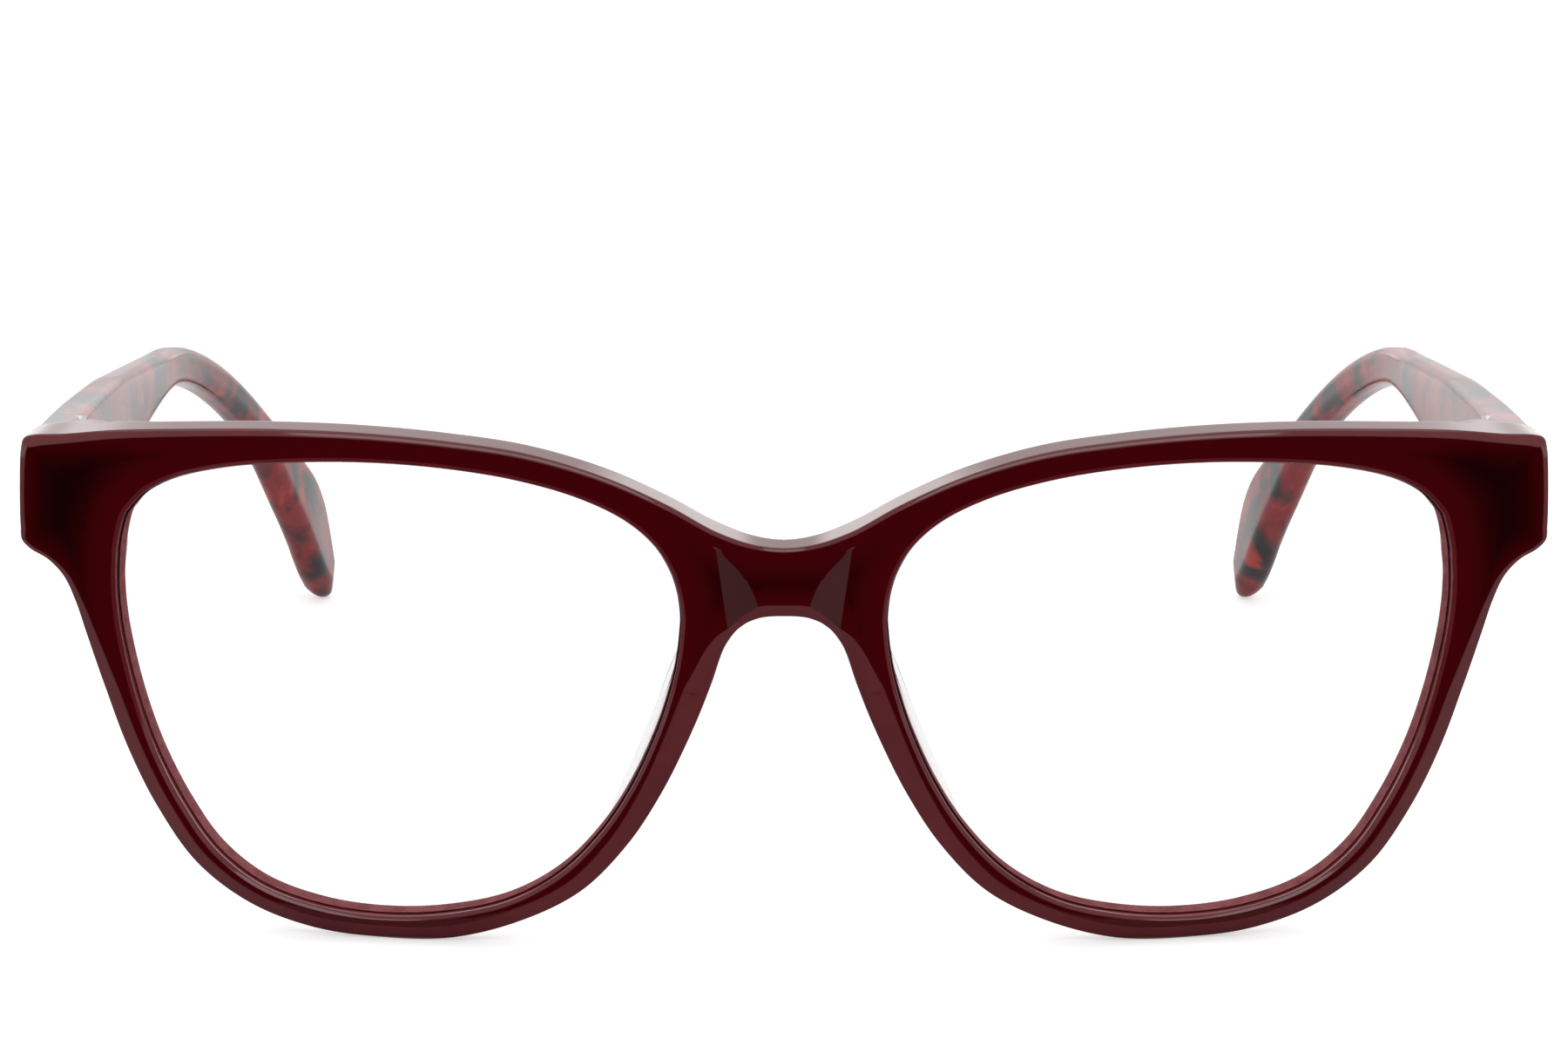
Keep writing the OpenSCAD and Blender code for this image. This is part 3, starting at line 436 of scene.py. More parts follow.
def lens_shell():
    """A bowed shell: rings of the lens edge drawn in to the lens middle. Its depth is less by the bow times
    (1 less the square of the share of the way out). The ground edge has a flat shoulder on each side of a V
    that sits in the groove. Returns the shell and the mark of the ground edge."""
    lens = rim_curves()[0]
    away = square_off(lens)
    rings = np.append(np.linspace(0, 1, 19)[1:-1], [0.996, 1])
    front_n, back_n = GROOVE_Y - LENS_T / 2, GROOVE_Y + LENS_T / 2

    def skin(n, ring, grow=-RIM_CLEARANCE):
        flat = mix(LENS_MID, lens + away * grow, ring)
        return bent(at(flat, n - LENS_BOW * (1 - ring * ring)))
    shoulder = GROOVE_HALF - LENS_GAP
    edge = [skin(GROOVE_Y - shoulder, 1), skin(GROOVE_Y, 1, GROOVE_D - 1.5 * LENS_GAP),
            skin(GROOVE_Y + shoulder, 1)]
    rows = np.array([skin(front_n, r) for r in rings] + edge + [skin(back_n, r) for r in rings[::-1]])
    points, faces = tube(rows)
    points[-2] = bent(np.array([*LENS_MID, front_n - LENS_BOW]))
    points[-1] = bent(np.array([*LENS_MID, back_n - LENS_BOW]))
    ground = np.zeros(rows.shape[:2])
    ground[len(rings) - 1:len(rings) + len(edge) + 1] = 1
    return (points, faces), {"ground_edge": np.append(ground.reshape(-1), [0, 0])}


# ---------- Nose pads ----------
# The pad's middle line on the rim, as x from the opening's inner edge and z from the lens middle, from its
# top down; then shares of its thickness, far from the rim and at its ends.
PAD_LINE = np.array([(-1.4, 5.2), (0.05, 0.2), (1.6, -4.5), (3.65, -9.1), (6.9, -14.2)], float)
PAD_TOP_SHARE, PAD_END_SHARE = 0.62, 0.35


def pad_shell():
    """A leaf: an oval section that stands on the back of the rim, carried along the pad line and drawn in
    at its ends by the root of 1 less (way from the middle) to the power 2.8."""
    line = PAD_LINE + (BRIDGE_GAP / 2, LENS_MID[1])
    line = np.concatenate([2 * line[:1] - line[1:2], line, 2 * line[-1:] - line[-2:-1]])
    f = np.linspace(0, 1, 41)
    mid = spline(line[:-3], line[1:-2], line[2:-1], line[3:], f[:-1]).reshape(-1, 2)
    mid = np.concatenate([mid, line[-2:-1]])
    place = np.linspace(0, 1, len(mid))
    turns = (1 - np.cos(np.linspace(0, pi, 61))) / 2
    mid = np.stack([np.interp(turns, place, mid[:, k]) for k in (0, 1)], 1)
    along = np.gradient(mid, axis=0)
    across = unit(np.stack([-along[:, 1], along[:, 0]], 1))
    s = np.sqrt(np.maximum(0.012, 1 - np.abs(2 * turns - 1) ** 2.8))[:, None]
    a = np.linspace(0, pi, 25)
    w = (np.sign(np.cos(a)) * np.abs(np.cos(a)) ** 0.8)[None, :]
    h = (np.sin(a) ** 0.75)[None, :]
    reach = w * PAD_T / 2 * mix(1, PAD_TOP_SHARE, h) * mix(PAD_END_SHARE, 1, s) + PAD_FLARE * h * h * s
    flat = mid[:, None, :] + across[:, None, :] * reach[:, :, None]
    root = bent(np.concatenate([flat, np.full(flat.shape[:2] + (1,), FRONT_T)], -1))
    root[..., 1] += GLUE_T + h * PAD_D * s
    return tube(root)


# ---------- Temples ----------
def line_yz(u):
    """Middle line of a temple: a straight stretch, an arc over the ear, then straight to the tip."""
    a0 = radians(PANTOSCOPIC)
    a1 = a0 + radians(EAR_BEND) * np.clip((u - STRAIGHT_L) / BEND_L, 0, 1)
    straight = np.minimum(u, STRAIGHT_L)
    rest = np.maximum(u - STRAIGHT_L - BEND_L, 0)
    y = straight * cos(a0) + EAR_R * (np.sin(a1) - sin(a0)) + rest * np.cos(a1)
    z = -(straight * sin(a0) + EAR_R * (cos(a0) - np.cos(a1)) + rest * np.sin(a1))
    return y, z, a1


TURN_U, TURN_SOFT, BLEND_L = STRAIGHT_L + 10, 8.0, 16.0
# Height of the temple by the way along it, before the smoothing.
HEIGHT_TABLE = np.array([
    (0, TEMPLE_H), (STRAIGHT_L * 0.24, TEMPLE_H - 0.2), (STRAIGHT_L * 0.48, mix(EAR_H, TEMPLE_H, 0.83)),
    (STRAIGHT_L * 0.73, mix(EAR_H, TEMPLE_H, 0.42)), (STRAIGHT_L * 0.97, mix(EAR_H, TEMPLE_H, 0.04)),
    (STRAIGHT_L * 1.16, EAR_H), (TEMPLE_L - PADDLE_L, EAR_H), (TEMPLE_L - 24, mix(EAR_H, PADDLE_H, 0.22)),
    (TEMPLE_L - 20, mix(EAR_H, PADDLE_H, 0.45)), (TEMPLE_L - 16.5, mix(EAR_H, PADDLE_H, 0.7)),
    (TEMPLE_L - 13.5, PADDLE_H * 0.92), (TEMPLE_L - 10.5, PADDLE_H * 1.1), (TEMPLE_L - 8, PADDLE_H * 1.1),
    (TEMPLE_L - 5.5, PADDLE_H * 0.93), (TEMPLE_L - 3, PADDLE_H * 0.7), (TEMPLE_L - 1, PADDLE_H * 0.62),
    (TEMPLE_L, PADDLE_H * 0.6)])
# How far the paddle lies below the middle line, by the distance from the tip.
SINK_TABLE = np.array([(0, 1.4), (1, 1.25), (3, 0.7), (6, -0.1), (8, -0.4), (11, -0.3), (14, 0.1),
                       (18, 0.4), (24, 0.2), (30, 0)])
SINK_REACH, TIP_OUT, TIP_OUT_L = 2, 0.8, 15
HEIGHT_REACH, REACH_SHARE, SIDE_WEIGHT = 6, 0.6, 0.85
TIP_L, TIP_EXTRA, TIP_CLOSED = 5.0, 0.69, 0.15
BUTT_DROP, TEMPLE_TAPER = 0.6, 0.1


def height_at(u):
    """Height of the temple: the table averaged over up to 6 mm on both sides, with weights that fall away
    from the middle, times the root of 1 less the square of the way into the rounded end."""
    w = np.clip(REACH_SHARE * (TEMPLE_L - u), 0, HEIGHT_REACH)
    k = np.linspace(-1, 1, 9)[:, None]
    weight = 1 - np.abs(k) * SIDE_WEIGHT
    spread = np.interp(u[None] + k * w[None], HEIGHT_TABLE[:, 0], HEIGHT_TABLE[:, 1])
    into_end = np.maximum(u - TEMPLE_L + TIP_L, 0) / (TIP_L + TIP_EXTRA + 0.02)
    return (spread * weight).sum(0) / weight.sum() * np.sqrt(np.clip(1 - into_end ** 2, 0.004, 1))


def temple_point(u, a, b):
    """The place at u along the temple, a across it and b up it, on the middle line. The line falls by
    line_yz, and turns inwards by the tangent of the turn times a softened ramp, log(1 + exp(way past the
    turn / softness)), less a smooth step outwards near the tip."""
    y, z, fall = line_yz(u)
    e = fall * smooth_step(u / BLEND_L)
    bend = np.exp((u - TURN_U) / TURN_SOFT)
    turn = tan(radians(EAR_TURN))
    out = TIP_OUT * smooth_step((u - TEMPLE_L + TIP_OUT_L) / TIP_OUT_L)
    inward = turn * TURN_SOFT * np.log1p(bend) - out
    k = np.arctan(turn * bend / (1 + bend))
    sink = sum(np.interp(TEMPLE_L - u + d, SINK_TABLE[:, 0], SINK_TABLE[:, 1])
               for d in np.linspace(-SINK_REACH, SINK_REACH, 9)) / 9
    up = b - sink
    return np.stack([(TEMPLE_IN + TEMPLE_OUT) / 2 - inward + a * np.cos(k),
                     TEMPLE_Y + y + up * np.sin(e) + a * np.sin(k) * np.cos(e),
                     HINGE[2] - BUTT_DROP + z + up * np.cos(e) - a * np.sin(k) * np.sin(e)], -1)


def bar_ring(a, b, r, bits=7):
    """Rings of a rounded bar with half width a, half height b and corner radius r, one for each place."""
    arc = np.linspace(0, pi / 2, bits)
    ring = []
    for q, (sx, sz) in enumerate([(1, 1), (-1, 1), (-1, -1), (1, -1)]):
        t = arc + q * pi / 2
        ring.append(np.stack([(a - r)[:, None] * sx + r[:, None] * np.cos(t),
                              (b - r)[:, None] * sz + r[:, None] * np.sin(t)], -1))
        fill = 3 if q in (0, 2) else 7
        k = (np.arange(1, fill + 1) / (fill + 1))[None, :, None]
        nx, nz = [(-1, 1), (-1, -1), (1, -1), (1, 1)][q]
        t2 = t[-1]
        start = ring[-1][:, -1:]
        stop = np.stack([(a - r) * nx + r * np.cos(t2), (b - r) * nz + r * np.sin(t2)], -1)[:, None]
        ring.append(mix(start, stop, k))
    return np.concatenate(ring, 1)


def temple_shell():
    """A rounded bar carried from the butt joint, where it has a small break, to the paddle's tip."""
    stop = TEMPLE_L + TIP_EXTRA
    from_stop = (PADDLE_L + TIP_EXTRA) * (np.cos(np.linspace(0, pi / 2, 90)) ** 1.35)
    u = np.concatenate([np.linspace(0, TEMPLE_L - PADDLE_L, 150)[:-1], stop - from_stop])
    share = np.sqrt(np.clip((stop + TIP_CLOSED - u) / TIP_ROUND, 0, 1))
    a, b = TEMPLE_T * (1 - TEMPLE_TAPER * u / TEMPLE_L) * share / 2, height_at(u) / 2
    corner = np.minimum(mix(1.0, 1.5, smooth_step((u - 8) / 50)), 0.85 * np.minimum(a, b))
    ring = bar_ring(a, b, corner, 10)
    body = temple_point(u[:, None], ring[..., 0], ring[..., 1])
    body[0] = temple_point(np.full((1, 1), 0.18), ring[:1, :, 0], ring[:1, :, 1])[0]
    # The end face: the first ring drawn in by the break, then towards its middle.
    face = []
    for inset, back in ((0.95, 0.0), (0.6, 0.0), (0.35, 0.0), (0.16, 0.0), (0.05, 0.06)):
        r = bar_ring(a[:1] - inset, b[:1] - inset, np.maximum(corner[:1] - inset, 0.12), 10)
        face.append(temple_point(np.full((1, 1), back), r[..., 0], r[..., 1])[0])
    # The tip: the last ring drawn in over a small dome.
    mid = body[-1].mean(0)
    tip_way = unit(mid - body[-4].mean(0))
    dome = [mid + (body[-1] - mid) * cos(t) + tip_way * 0.25 * sin(t) for t in (0.35, 0.7, 1.0, 1.25, 1.45)]
    return tube(np.concatenate([np.array(face), body, np.array(dome)]), flip=True)


# ---------- Hinges ----------
PLATE_BREAK, PLATE_R, FRONT_PLATE_OVER, TEMPLE_PLATE_UNDER, BORE_PLAY = 0.04, 0.35, 0.8, 1.2, 0.1
SLOT_HALF, SLOT_D, CROWN, SLICES = 0.16, 0.3, 0.14, 16


def block_shell(low, high, chamfer, out_axis):
    """A rounded plate with a chamfer round the face that looks along out_axis (0 for x, 1 for y)."""
    low, high = np.array(low, float), np.array(high, float)
    side = [k for k in (0, 1, 2) if k != out_axis]
    mid, half = (low + high) / 2, (high - low) / 2
    rings = []
    for inset, level in ((0, -1), (0, 0), (chamfer * 0.4, 1), (chamfer, 2), (half[side].min() * 0.6, 2)):
        ring = bar_ring(np.array([half[side[0]] - inset]), np.array([half[side[1]] - inset]),
                        np.array([max(PLATE_R - inset * 0.5, 0.08)]))[0]
        points = np.zeros((len(ring), 3))
        points[:, side[0]], points[:, side[1]] = mid[side[0]] + ring[:, 0], mid[side[1]] + ring[:, 1]
        top, away = (high[out_axis], 1) if out_axis == 1 else (low[out_axis], -1)
        points[:, out_axis] = {-1: top - away * 2 * half[out_axis], 0: top - away * chamfer,
                               1: top - away * chamfer * 0.35, 2: top}[level]
        rings.append(points)
    return tube(np.array(rings))


def knuckle_shell(k, reach, turn, bore):
    """One of the five barrels, counted from the bottom: a D outline with its flat side on the plate,
    chamfered above and below, with the screw's bore through it."""
    r = BARREL_D / 2
    arc = np.linspace(0, pi, 33)
    side = np.linspace(0, 1, 9)[1:]
    outline = np.concatenate([np.stack([r * np.cos(arc), r * np.sin(arc)], 1),
                              np.stack([np.full(8, -r), -reach * side], 1),
                              np.stack([mix(-r, r, side), np.full(8, -reach)], 1),
                              np.stack([np.full(7, r), -reach * (1 - side[:-1])], 1)])
    angle = np.arctan2(outline[:, 1], outline[:, 0])
    hole = np.stack([np.cos(angle), np.sin(angle)], 1) * bore / 2
    pull = unit(outline) * 0.12
    high = HINGE_H / 5 - BARREL_GAP
    start = HINGE[2] - HINGE_H / 2 + k * HINGE_H / 5 + BARREL_GAP / 2
    steps = [(outline, 0.1), (outline, high - 0.1), (outline - pull * 0.35, high - 0.03),
             (outline - pull, high), (hole * 1.12, high), (hole, high - 0.05), (hole, 0.05),
             (hole * 1.12, 0), (outline - pull, 0), (outline - pull * 0.35, 0.03)]
    c, s = cos(radians(turn)), sin(radians(turn))
    rings = []
    for flat, z in steps:
        x, y = flat[:, 0] * c - flat[:, 1] * s, flat[:, 0] * s + flat[:, 1] * c
        rings.append(np.stack([HINGE[0] + x, HINGE[1] + y, np.full(len(flat), start + z)], 1))
    rings = np.array(rings)
    return rings.reshape(-1, 3), [grid_faces(len(rings), rings.shape[1], True, True)]


def front_hinge_shell():
    """The plate in the end piece and its three barrels."""
    half_h = (HINGE_H + FRONT_PLATE_OVER) / 2
    plate = block_shell((HINGE[0] - BARREL_D / 2, END_Y - PLATE_T, HINGE[2] - half_h),
                        (HINGE[0] + BARREL_D / 2 + SEAT_MARGIN, END_Y + PLATE_PROUD, HINGE[2] + half_h),
                        PLATE_BREAK, 1)
    return joined(plate, *[knuckle_shell(k, HINGE[1] - END_Y, 0, SCREW_D) for k in (0, 2, 4)])


def temple_hinge_shell():
    """The plate in the temple's inner side and its two barrels."""
    half_h, start = (HINGE_H - TEMPLE_PLATE_UNDER) / 2, HINGE[1] - BARREL_D / 2
    plate = block_shell((TEMPLE_IN - PLATE_PROUD, start, HINGE[2] - half_h),
                        (TEMPLE_IN + PLATE_T, start + PLATE_L, HINGE[2] + half_h), PLATE_BREAK, 0)
    return joined(plate, *[knuckle_shell(k, TEMPLE_IN - HINGE[0], 90, SCREW_D + BORE_PLAY) for k in (1, 3)])


def screw_shell():
    """Head and shank. The head is a row of slices across a disc, lower where the slot runs, and its crown
    falls with the third power of the way out; the shank is turned."""
    r, slot, low = SCREW_HEAD_D / 2, SLOT_HALF, HINGE_H / 2 - BARREL_GAP / 2
    x = np.concatenate([-r * np.cos(np.linspace(0.04, pi / 2 - slot / r, SLICES)), [-slot, slot],
                        r * np.cos(np.linspace(pi / 2 - slot / r, 0.04, SLICES))])
    x[SLICES - 1:SLICES + 3] = -slot - 0.004, -slot, slot, slot + 0.004
    in_slot = (np.abs(x) < slot + 0.002)[:, None]
    chord = np.sqrt(r * r - x * x)
    t = np.concatenate([np.linspace(-1, 1, 25), np.linspace(1, -1, 9)])
    top = (np.arange(len(t)) < 25)[None, :]
    y = chord[:, None] * t[None, :]
    reach = np.sqrt(x[:, None] ** 2 + y ** 2) / r
    z = np.where(top, np.where(in_slot, SCREW_HEAD_H - SLOT_D, SCREW_HEAD_H - CROWN * reach ** 3), 0.0)
    head = np.stack([np.broadcast_to(HINGE[0] + x[:, None], y.shape), HINGE[1] + y, HINGE[2] + low + z], -1)
    turn = np.linspace(0, 2 * pi, 40, endpoint=False)
    shank, end = SCREW_D / 2 - 0.01, HINGE_H / 2 - 0.1
    rings = [HINGE + np.stack([q * np.cos(turn), q * np.sin(turn), np.full(40, v)], 1)
             for q, v in ((0.3, -end), (shank - 0.11, -end), (shank, 0.12 - end), (shank, end))]
    return joined(tube(head), tube(np.array(rings)))


# ---------- Node graphs ----------
class Graph:
    """The nodes of a new material or world, built up from nothing. A value for an input is a socket, a
    shader node, a fixed number or a colour."""

    def __init__(self, owner):
        owner.use_nodes = True
        self.owner, self.tree = owner, owner.node_tree
        self.tree.nodes.clear()

    def add(self, kind, inputs=None, **settings):
        """A node with its settings and the values of its inputs, which are named by label or number."""
        node = self.tree.nodes.new(kind)
        for key, value in settings.items():
            setattr(node, key, value)
        for key, value in (inputs or {}).items():
            socket = node.inputs[key]
            if isinstance(value, bpy.types.Node):
                value = value.outputs[0]
            if isinstance(value, bpy.types.NodeSocket):
                self.tree.links.new(value, socket)
            else:
                socket.default_value = (*value, 1) if socket.type == "RGBA" else value
        return node

    def ends_in(self, shader, kind="ShaderNodeOutputMaterial"):
        """Makes a shader the surface, and returns the material."""
        self.add(kind, {"Surface": shader})
        return self.owner

    def calc(self, operation, *values):
        """One sum on sockets or fixed numbers."""
        return self.add("ShaderNodeMath", dict(enumerate(values)), operation=operation).outputs[0]

    def spread(self, value, low, high):
        """A value from 0 to 1 spread from low to high."""
        node = self.add("ShaderNodeMapRange", {"Value": value, "To Min": low, "To Max": high})
        return node.outputs["Result"]

    def eased(self, value, low, high, start=0.0, stop=1.0):
        """A smooth step from start where the value is low to stop where it is high."""
        ends = {"From Min": low, "From Max": high, "To Min": start, "To Max": stop}
        node = self.add("ShaderNodeMapRange", {"Value": value, **ends}, interpolation_type="SMOOTHSTEP")
        return node.outputs["Result"]

    def noise(self, space, scale, detail, rough=0.5, distortion=0.0):
        """A cloud pattern of so many lumps a metre on Object coordinates."""
        return self.add("ShaderNodeTexNoise", {"Vector": space, "Scale": scale, "Detail": detail,
                                               "Roughness": rough, "Distortion": distortion}).outputs["Fac"]

    def ramp(self, source, stops, mode="EASE"):
        """Colours at places along a value from 0 to 1."""
        node = self.add("ShaderNodeValToRGB", {"Fac": source})
        node.color_ramp.interpolation = mode
        points = node.color_ramp.elements
        while len(points) < len(stops):
            points.new(0.5)
        for point, (place, colour) in zip(points, stops):
            point.position, point.color = place, (*colour, 1)
        return node.outputs["Color"]

    def blend(self, share, a, b):
        """Colour a where share is 0 and b where it is 1, by the node's colour sockets: 6, 7 and 2."""
        return self.add("ShaderNodeMix", {"Factor": share, 6: a, 7: b}, data_type="RGBA").outputs[2]

    def space(self):
        """Object coordinates, in metres."""
        return self.add("ShaderNodeTexCoord").outputs["Object"]

    def mark(self, name):
        """The mark of this name that a mesh carries for each point."""
        return self.add("ShaderNodeAttribute", attribute_name=name).outputs["Fac"]

    def ray(self, kind):
        """1 for rays of this kind, else 0."""
        return self.add("ShaderNodeLightPath").outputs[f"Is {kind} Ray"]


# ---------- Materials ----------
ACETATE_IOR, LENS_IOR, COATING_CAP = 1.48, 1.25, 0.08
CLOUD_SHARE = 0.25


def burgundy_acetate():
    """Deep burgundy sheet with faint clouds and polish marks. Its colour also holds painted light: nearly black
    where the sheet is wide and redder near its outline, where light gets into it; painted lighter on the cut
    and polished edges and the opening's wall, and painted brownish on the bridge's side facets, for the light
    and reflections they catch."""
    graph = Graph(bpy.data.materials.new("burgundy_acetate"))
    space = graph.space()
    clouds = graph.noise(space, 90, 3, 0.55, 0.6)
    # Painted light: the sheet's colour runs from nearly black to redder as the edge_light mark rises near the
    # outline, where light gets into the acetate.
    lit = graph.calc("SUBTRACT", graph.mark("edge_light"), CLOUD_SHARE / 2)
    sheet = graph.ramp(graph.calc("MULTIPLY_ADD", clouds, CLOUD_SHARE, lit),
                       [(0.0, (0.0065, 0.0005, 0.0008)), (0.5, (0.042, 0.0006, 0.0016)),
                        (1.0, (0.062, 0.0008, 0.0030))], "LINEAR")
    # Painted light: the cut facets and the opening's wall get lighter copies of the same acetate, for the light
    # they catch and let through.
    facet = graph.ramp(clouds, [(0.3, (0.115, 0.012, 0.016)), (0.7, (0.140, 0.016, 0.021))])
    wall_painted_light = graph.ramp(clouds, [(0.3, (0.200, 0.034, 0.040)), (0.7, (0.260, 0.046, 0.054))])
    edge = graph.mark("cut_edge")
    on_edge = graph.add("ShaderNodeMapRange", {"Value": edge, "From Max": FACET_MARK})
    on_wall = graph.add("ShaderNodeMapRange", {"Value": edge, "From Min": FACET_MARK})
    with_edges = graph.blend(on_edge, sheet, graph.blend(on_wall, facet, wall_painted_light))
    # Painted reflection: the bridge's side facets get a lighter, brownish copy of the acetate for what they
    # mirror.
    wing = graph.ramp(clouds, [(0.3, (0.062, 0.0190, 0.0190)), (0.7, (0.074, 0.0235, 0.0230))])
    colour = graph.blend(graph.mark("wing"), with_edges, wing)
    polish = graph.spread(graph.noise(space, 900, 2), 0.04, 0.09)
    return graph.ends_in(graph.add("ShaderNodeBsdfPrincipled", {
        "Base Color": colour, "Roughness": polish, "IOR": ACETATE_IOR}))


def havana_acetate():
    """Red and dark havana: broad dark patches with soft rims in translucent red, drawn out along the
    temple."""
    graph = Graph(bpy.data.materials.new("red_havana_acetate"))
    space = graph.space()
    stretch = graph.add("ShaderNodeMapping", {"Vector": space, "Location": (0.004, 0.021, 0.010),
                                              "Scale": (1.0, 0.75, 0.8)})
    patches = graph.noise(stretch, 165, 2, 0.5, 0.7)
    streaks = graph.noise(stretch, 300, 3, 0.5, 0.6)
    red = graph.ramp(streaks, [(0.3, (0.13, 0.009, 0.013)), (0.5, (0.25, 0.017, 0.022)),
                               (0.7, (0.42, 0.038, 0.036))])
    dark = graph.ramp(streaks, [(0.3, (0.010, 0.013, 0.015)), (0.7, (0.034, 0.020, 0.023))])
    share = graph.ramp(patches, [(0.40, (0, 0, 0)), (0.54, (1, 1, 1))])
    polish = graph.spread(graph.noise(space, 800, 2), 0.13, 0.20)
    return graph.ends_in(graph.add("ShaderNodeBsdfPrincipled", {
        "Base Color": graph.blend(share, dark, red), "Roughness": polish, "IOR": ACETATE_IOR}))


def clear_lens():
    """Thin coated lens: see-through, with a glossy reflection that the coating keeps weak at every angle.
    Its ground edge is matt, and its red is a painted reflection of the rim."""
    graph = Graph(bpy.data.materials.new("clear_coated_lens"))
    space = graph.space()
    smear = graph.spread(graph.noise(space, 60, 2), 0.01, 0.05)
    gloss = graph.add("ShaderNodeBsdfGlossy", {"Color": (0.80, 0.93, 0.88), "Roughness": smear})
    fresnel = graph.add("ShaderNodeFresnel", {"IOR": LENS_IOR}).outputs["Fac"]
    coated = graph.add("ShaderNodeMixShader", {"Fac": graph.calc("MINIMUM", fresnel, COATING_CAP),
                                               1: graph.add("ShaderNodeBsdfTransparent"), 2: gloss})
    grain = graph.noise(space, 900, 2)
    # Painted reflection: the frosted ground edge is given the rim's red, which it would only show by reflection
    # and refraction.
    colour = graph.ramp(grain, [(0.3, (0.27, 0.085, 0.095)), (0.7, (0.38, 0.125, 0.135))])
    ground = graph.add("ShaderNodeBsdfDiffuse", {"Color": colour})
    ends = {"Fac": graph.mark("ground_edge"), 1: coated, 2: ground}
    return graph.ends_in(graph.add("ShaderNodeMixShader", ends))


def clear_pad():
    """Clear acetate of the nose pads, with a trace of cloud. A tenth of the light passes straight on."""
    graph = Graph(bpy.data.materials.new("clear_pad_acetate"))
    clouds = graph.noise(graph.space(), 260, 2)
    colour = graph.ramp(clouds, [(0.3, (0.90, 0.86, 0.86)), (0.7, (0.96, 0.93, 0.93))])
    shader = graph.add("ShaderNodeBsdfPrincipled", {
        "Base Color": colour, "Roughness": graph.spread(clouds, 0.03, 0.09), "IOR": ACETATE_IOR,
        "Transmission Weight": 1.0})
    through = graph.add("ShaderNodeBsdfTransparent")
    return graph.ends_in(graph.add("ShaderNodeMixShader", {"Fac": 0.1, 1: shader, 2: through}))


def polished_steel(name, colour, low, high):
    """Nickel-coloured metal with fine uneven polish."""
    graph = Graph(bpy.data.materials.new(name))
    grain = graph.noise(graph.space(), 1500, 3, 0.6)
    darker = tuple(0.86 * v for v in colour)
    return graph.ends_in(graph.add("ShaderNodeBsdfPrincipled", {
        "Metallic": 1.0, "Base Color": graph.ramp(grain, [(0.3, darker), (0.7, colour)]),
        "Roughness": graph.spread(grain, low, high)}))


burgundy = burgundy_acetate()
havana = havana_acetate()
lens_material = clear_lens()
pad_material = clear_pad()
hinge_steel = polished_steel("hinge_nickel", (0.40, 0.39, 0.385), 0.28, 0.42)
screw_steel = polished_steel("screw_steel", (0.68, 0.67, 0.66), 0.20, 0.34)
core_steel = polished_steel("core_wire_steel", (0.50, 0.49, 0.48), 0.30, 0.45)

# ---------- Pieces ----------
front_points, front_marks = front_shell()
lens_points, lens_marks = lens_shell()
make_piece("front_acetate", front_points, burgundy, "front", "front_acetate", "front", front_marks)
for side, arm in (("left", "temple_left"), ("right", "temple_right")):
    for name, shell, material, body, slot, node, *marks in (
            ("lens_clear", lens_points, lens_material, "front", "lens", "lens", lens_marks),
            ("nose_pad_clear", pad_shell(), pad_material, "front", "nose_pad_acetate", "nose_pad"),
            ("temple_havana", temple_shell(), havana, arm, "temple_acetate", "temple"),
            ("end_piece_hinge", front_hinge_shell(), hinge_steel, "front", "hinge_metal", "front_hinge"),
            ("temple_hinge_leaf", temple_hinge_shell(), hinge_steel, arm, "hinge_metal", "temple_hinge")):
        make_piece(f"{name}_{side}", shell if side == "left" else mirrored(shell), material, body, slot,
                   f"{node}_{side}", *marks)
    wire = frame["nodes"][f"core_wire_{side}"].data.materials
    wire.clear()
    wire.append(core_steel)
make_piece("slotted_hinge_screws", joined(screw_shell(), mirrored(screw_shell())), screw_steel, "front",
           "screw_metal", "hinge_screws")

# ---------- Stage, light and camera ----------
# How brightly the paper floor shows itself straight and in polished faces, and the light of the room.
FLOOR_LIFT, FLOOR_MIRRORED, ROOM_LIGHT, ROOM_MIRRORED = 0.54, 0.2, 0.62, 0.78
PANEL_MIDDLE, PANEL_SIDES = 1.65, 3.1
CAMERA_PLACE, CAMERA_PITCH, CAMERA_LENS, SENSOR_W = (0, -0.55388, 0.14812), 12.56, 125, 36


def seen_straight(graph):
    """1 for camera and transmission rays, which look straight at the white ground, else 0."""
    return graph.calc("MAXIMUM", graph.ray("Camera"), graph.ray("Transmission"))


def stage_sheet(name, points, faces, material):
    """A flat sheet of the stage."""
    thing = new_object(name, points, faces, material)
    return thing


def floor_material():
    """White paper that keeps shadows: a matt white, lifted to white where the camera or clear acetate sees
    it, and to the bright paper of a studio where polished faces mirror it."""
    graph = Graph(bpy.data.materials.new("white_paper"))
    matt = graph.add("ShaderNodeBsdfDiffuse", {"Color": (0.8, 0.8, 0.8)})
    lift = graph.calc("MAXIMUM", graph.calc("MULTIPLY", seen_straight(graph), FLOOR_LIFT),
                      graph.calc("MULTIPLY", graph.ray("Glossy"), FLOOR_MIRRORED))
    glow = graph.add("ShaderNodeEmission", {"Strength": lift})
    return graph.ends_in(graph.add("ShaderNodeAddShader", {0: matt, 1: glow}))


def card_material(name, grey):
    """Matt card of a plain grey."""
    graph = Graph(bpy.data.materials.new(name))
    return graph.ends_in(graph.add("ShaderNodeBsdfDiffuse", {"Color": (grey, grey, grey)}))


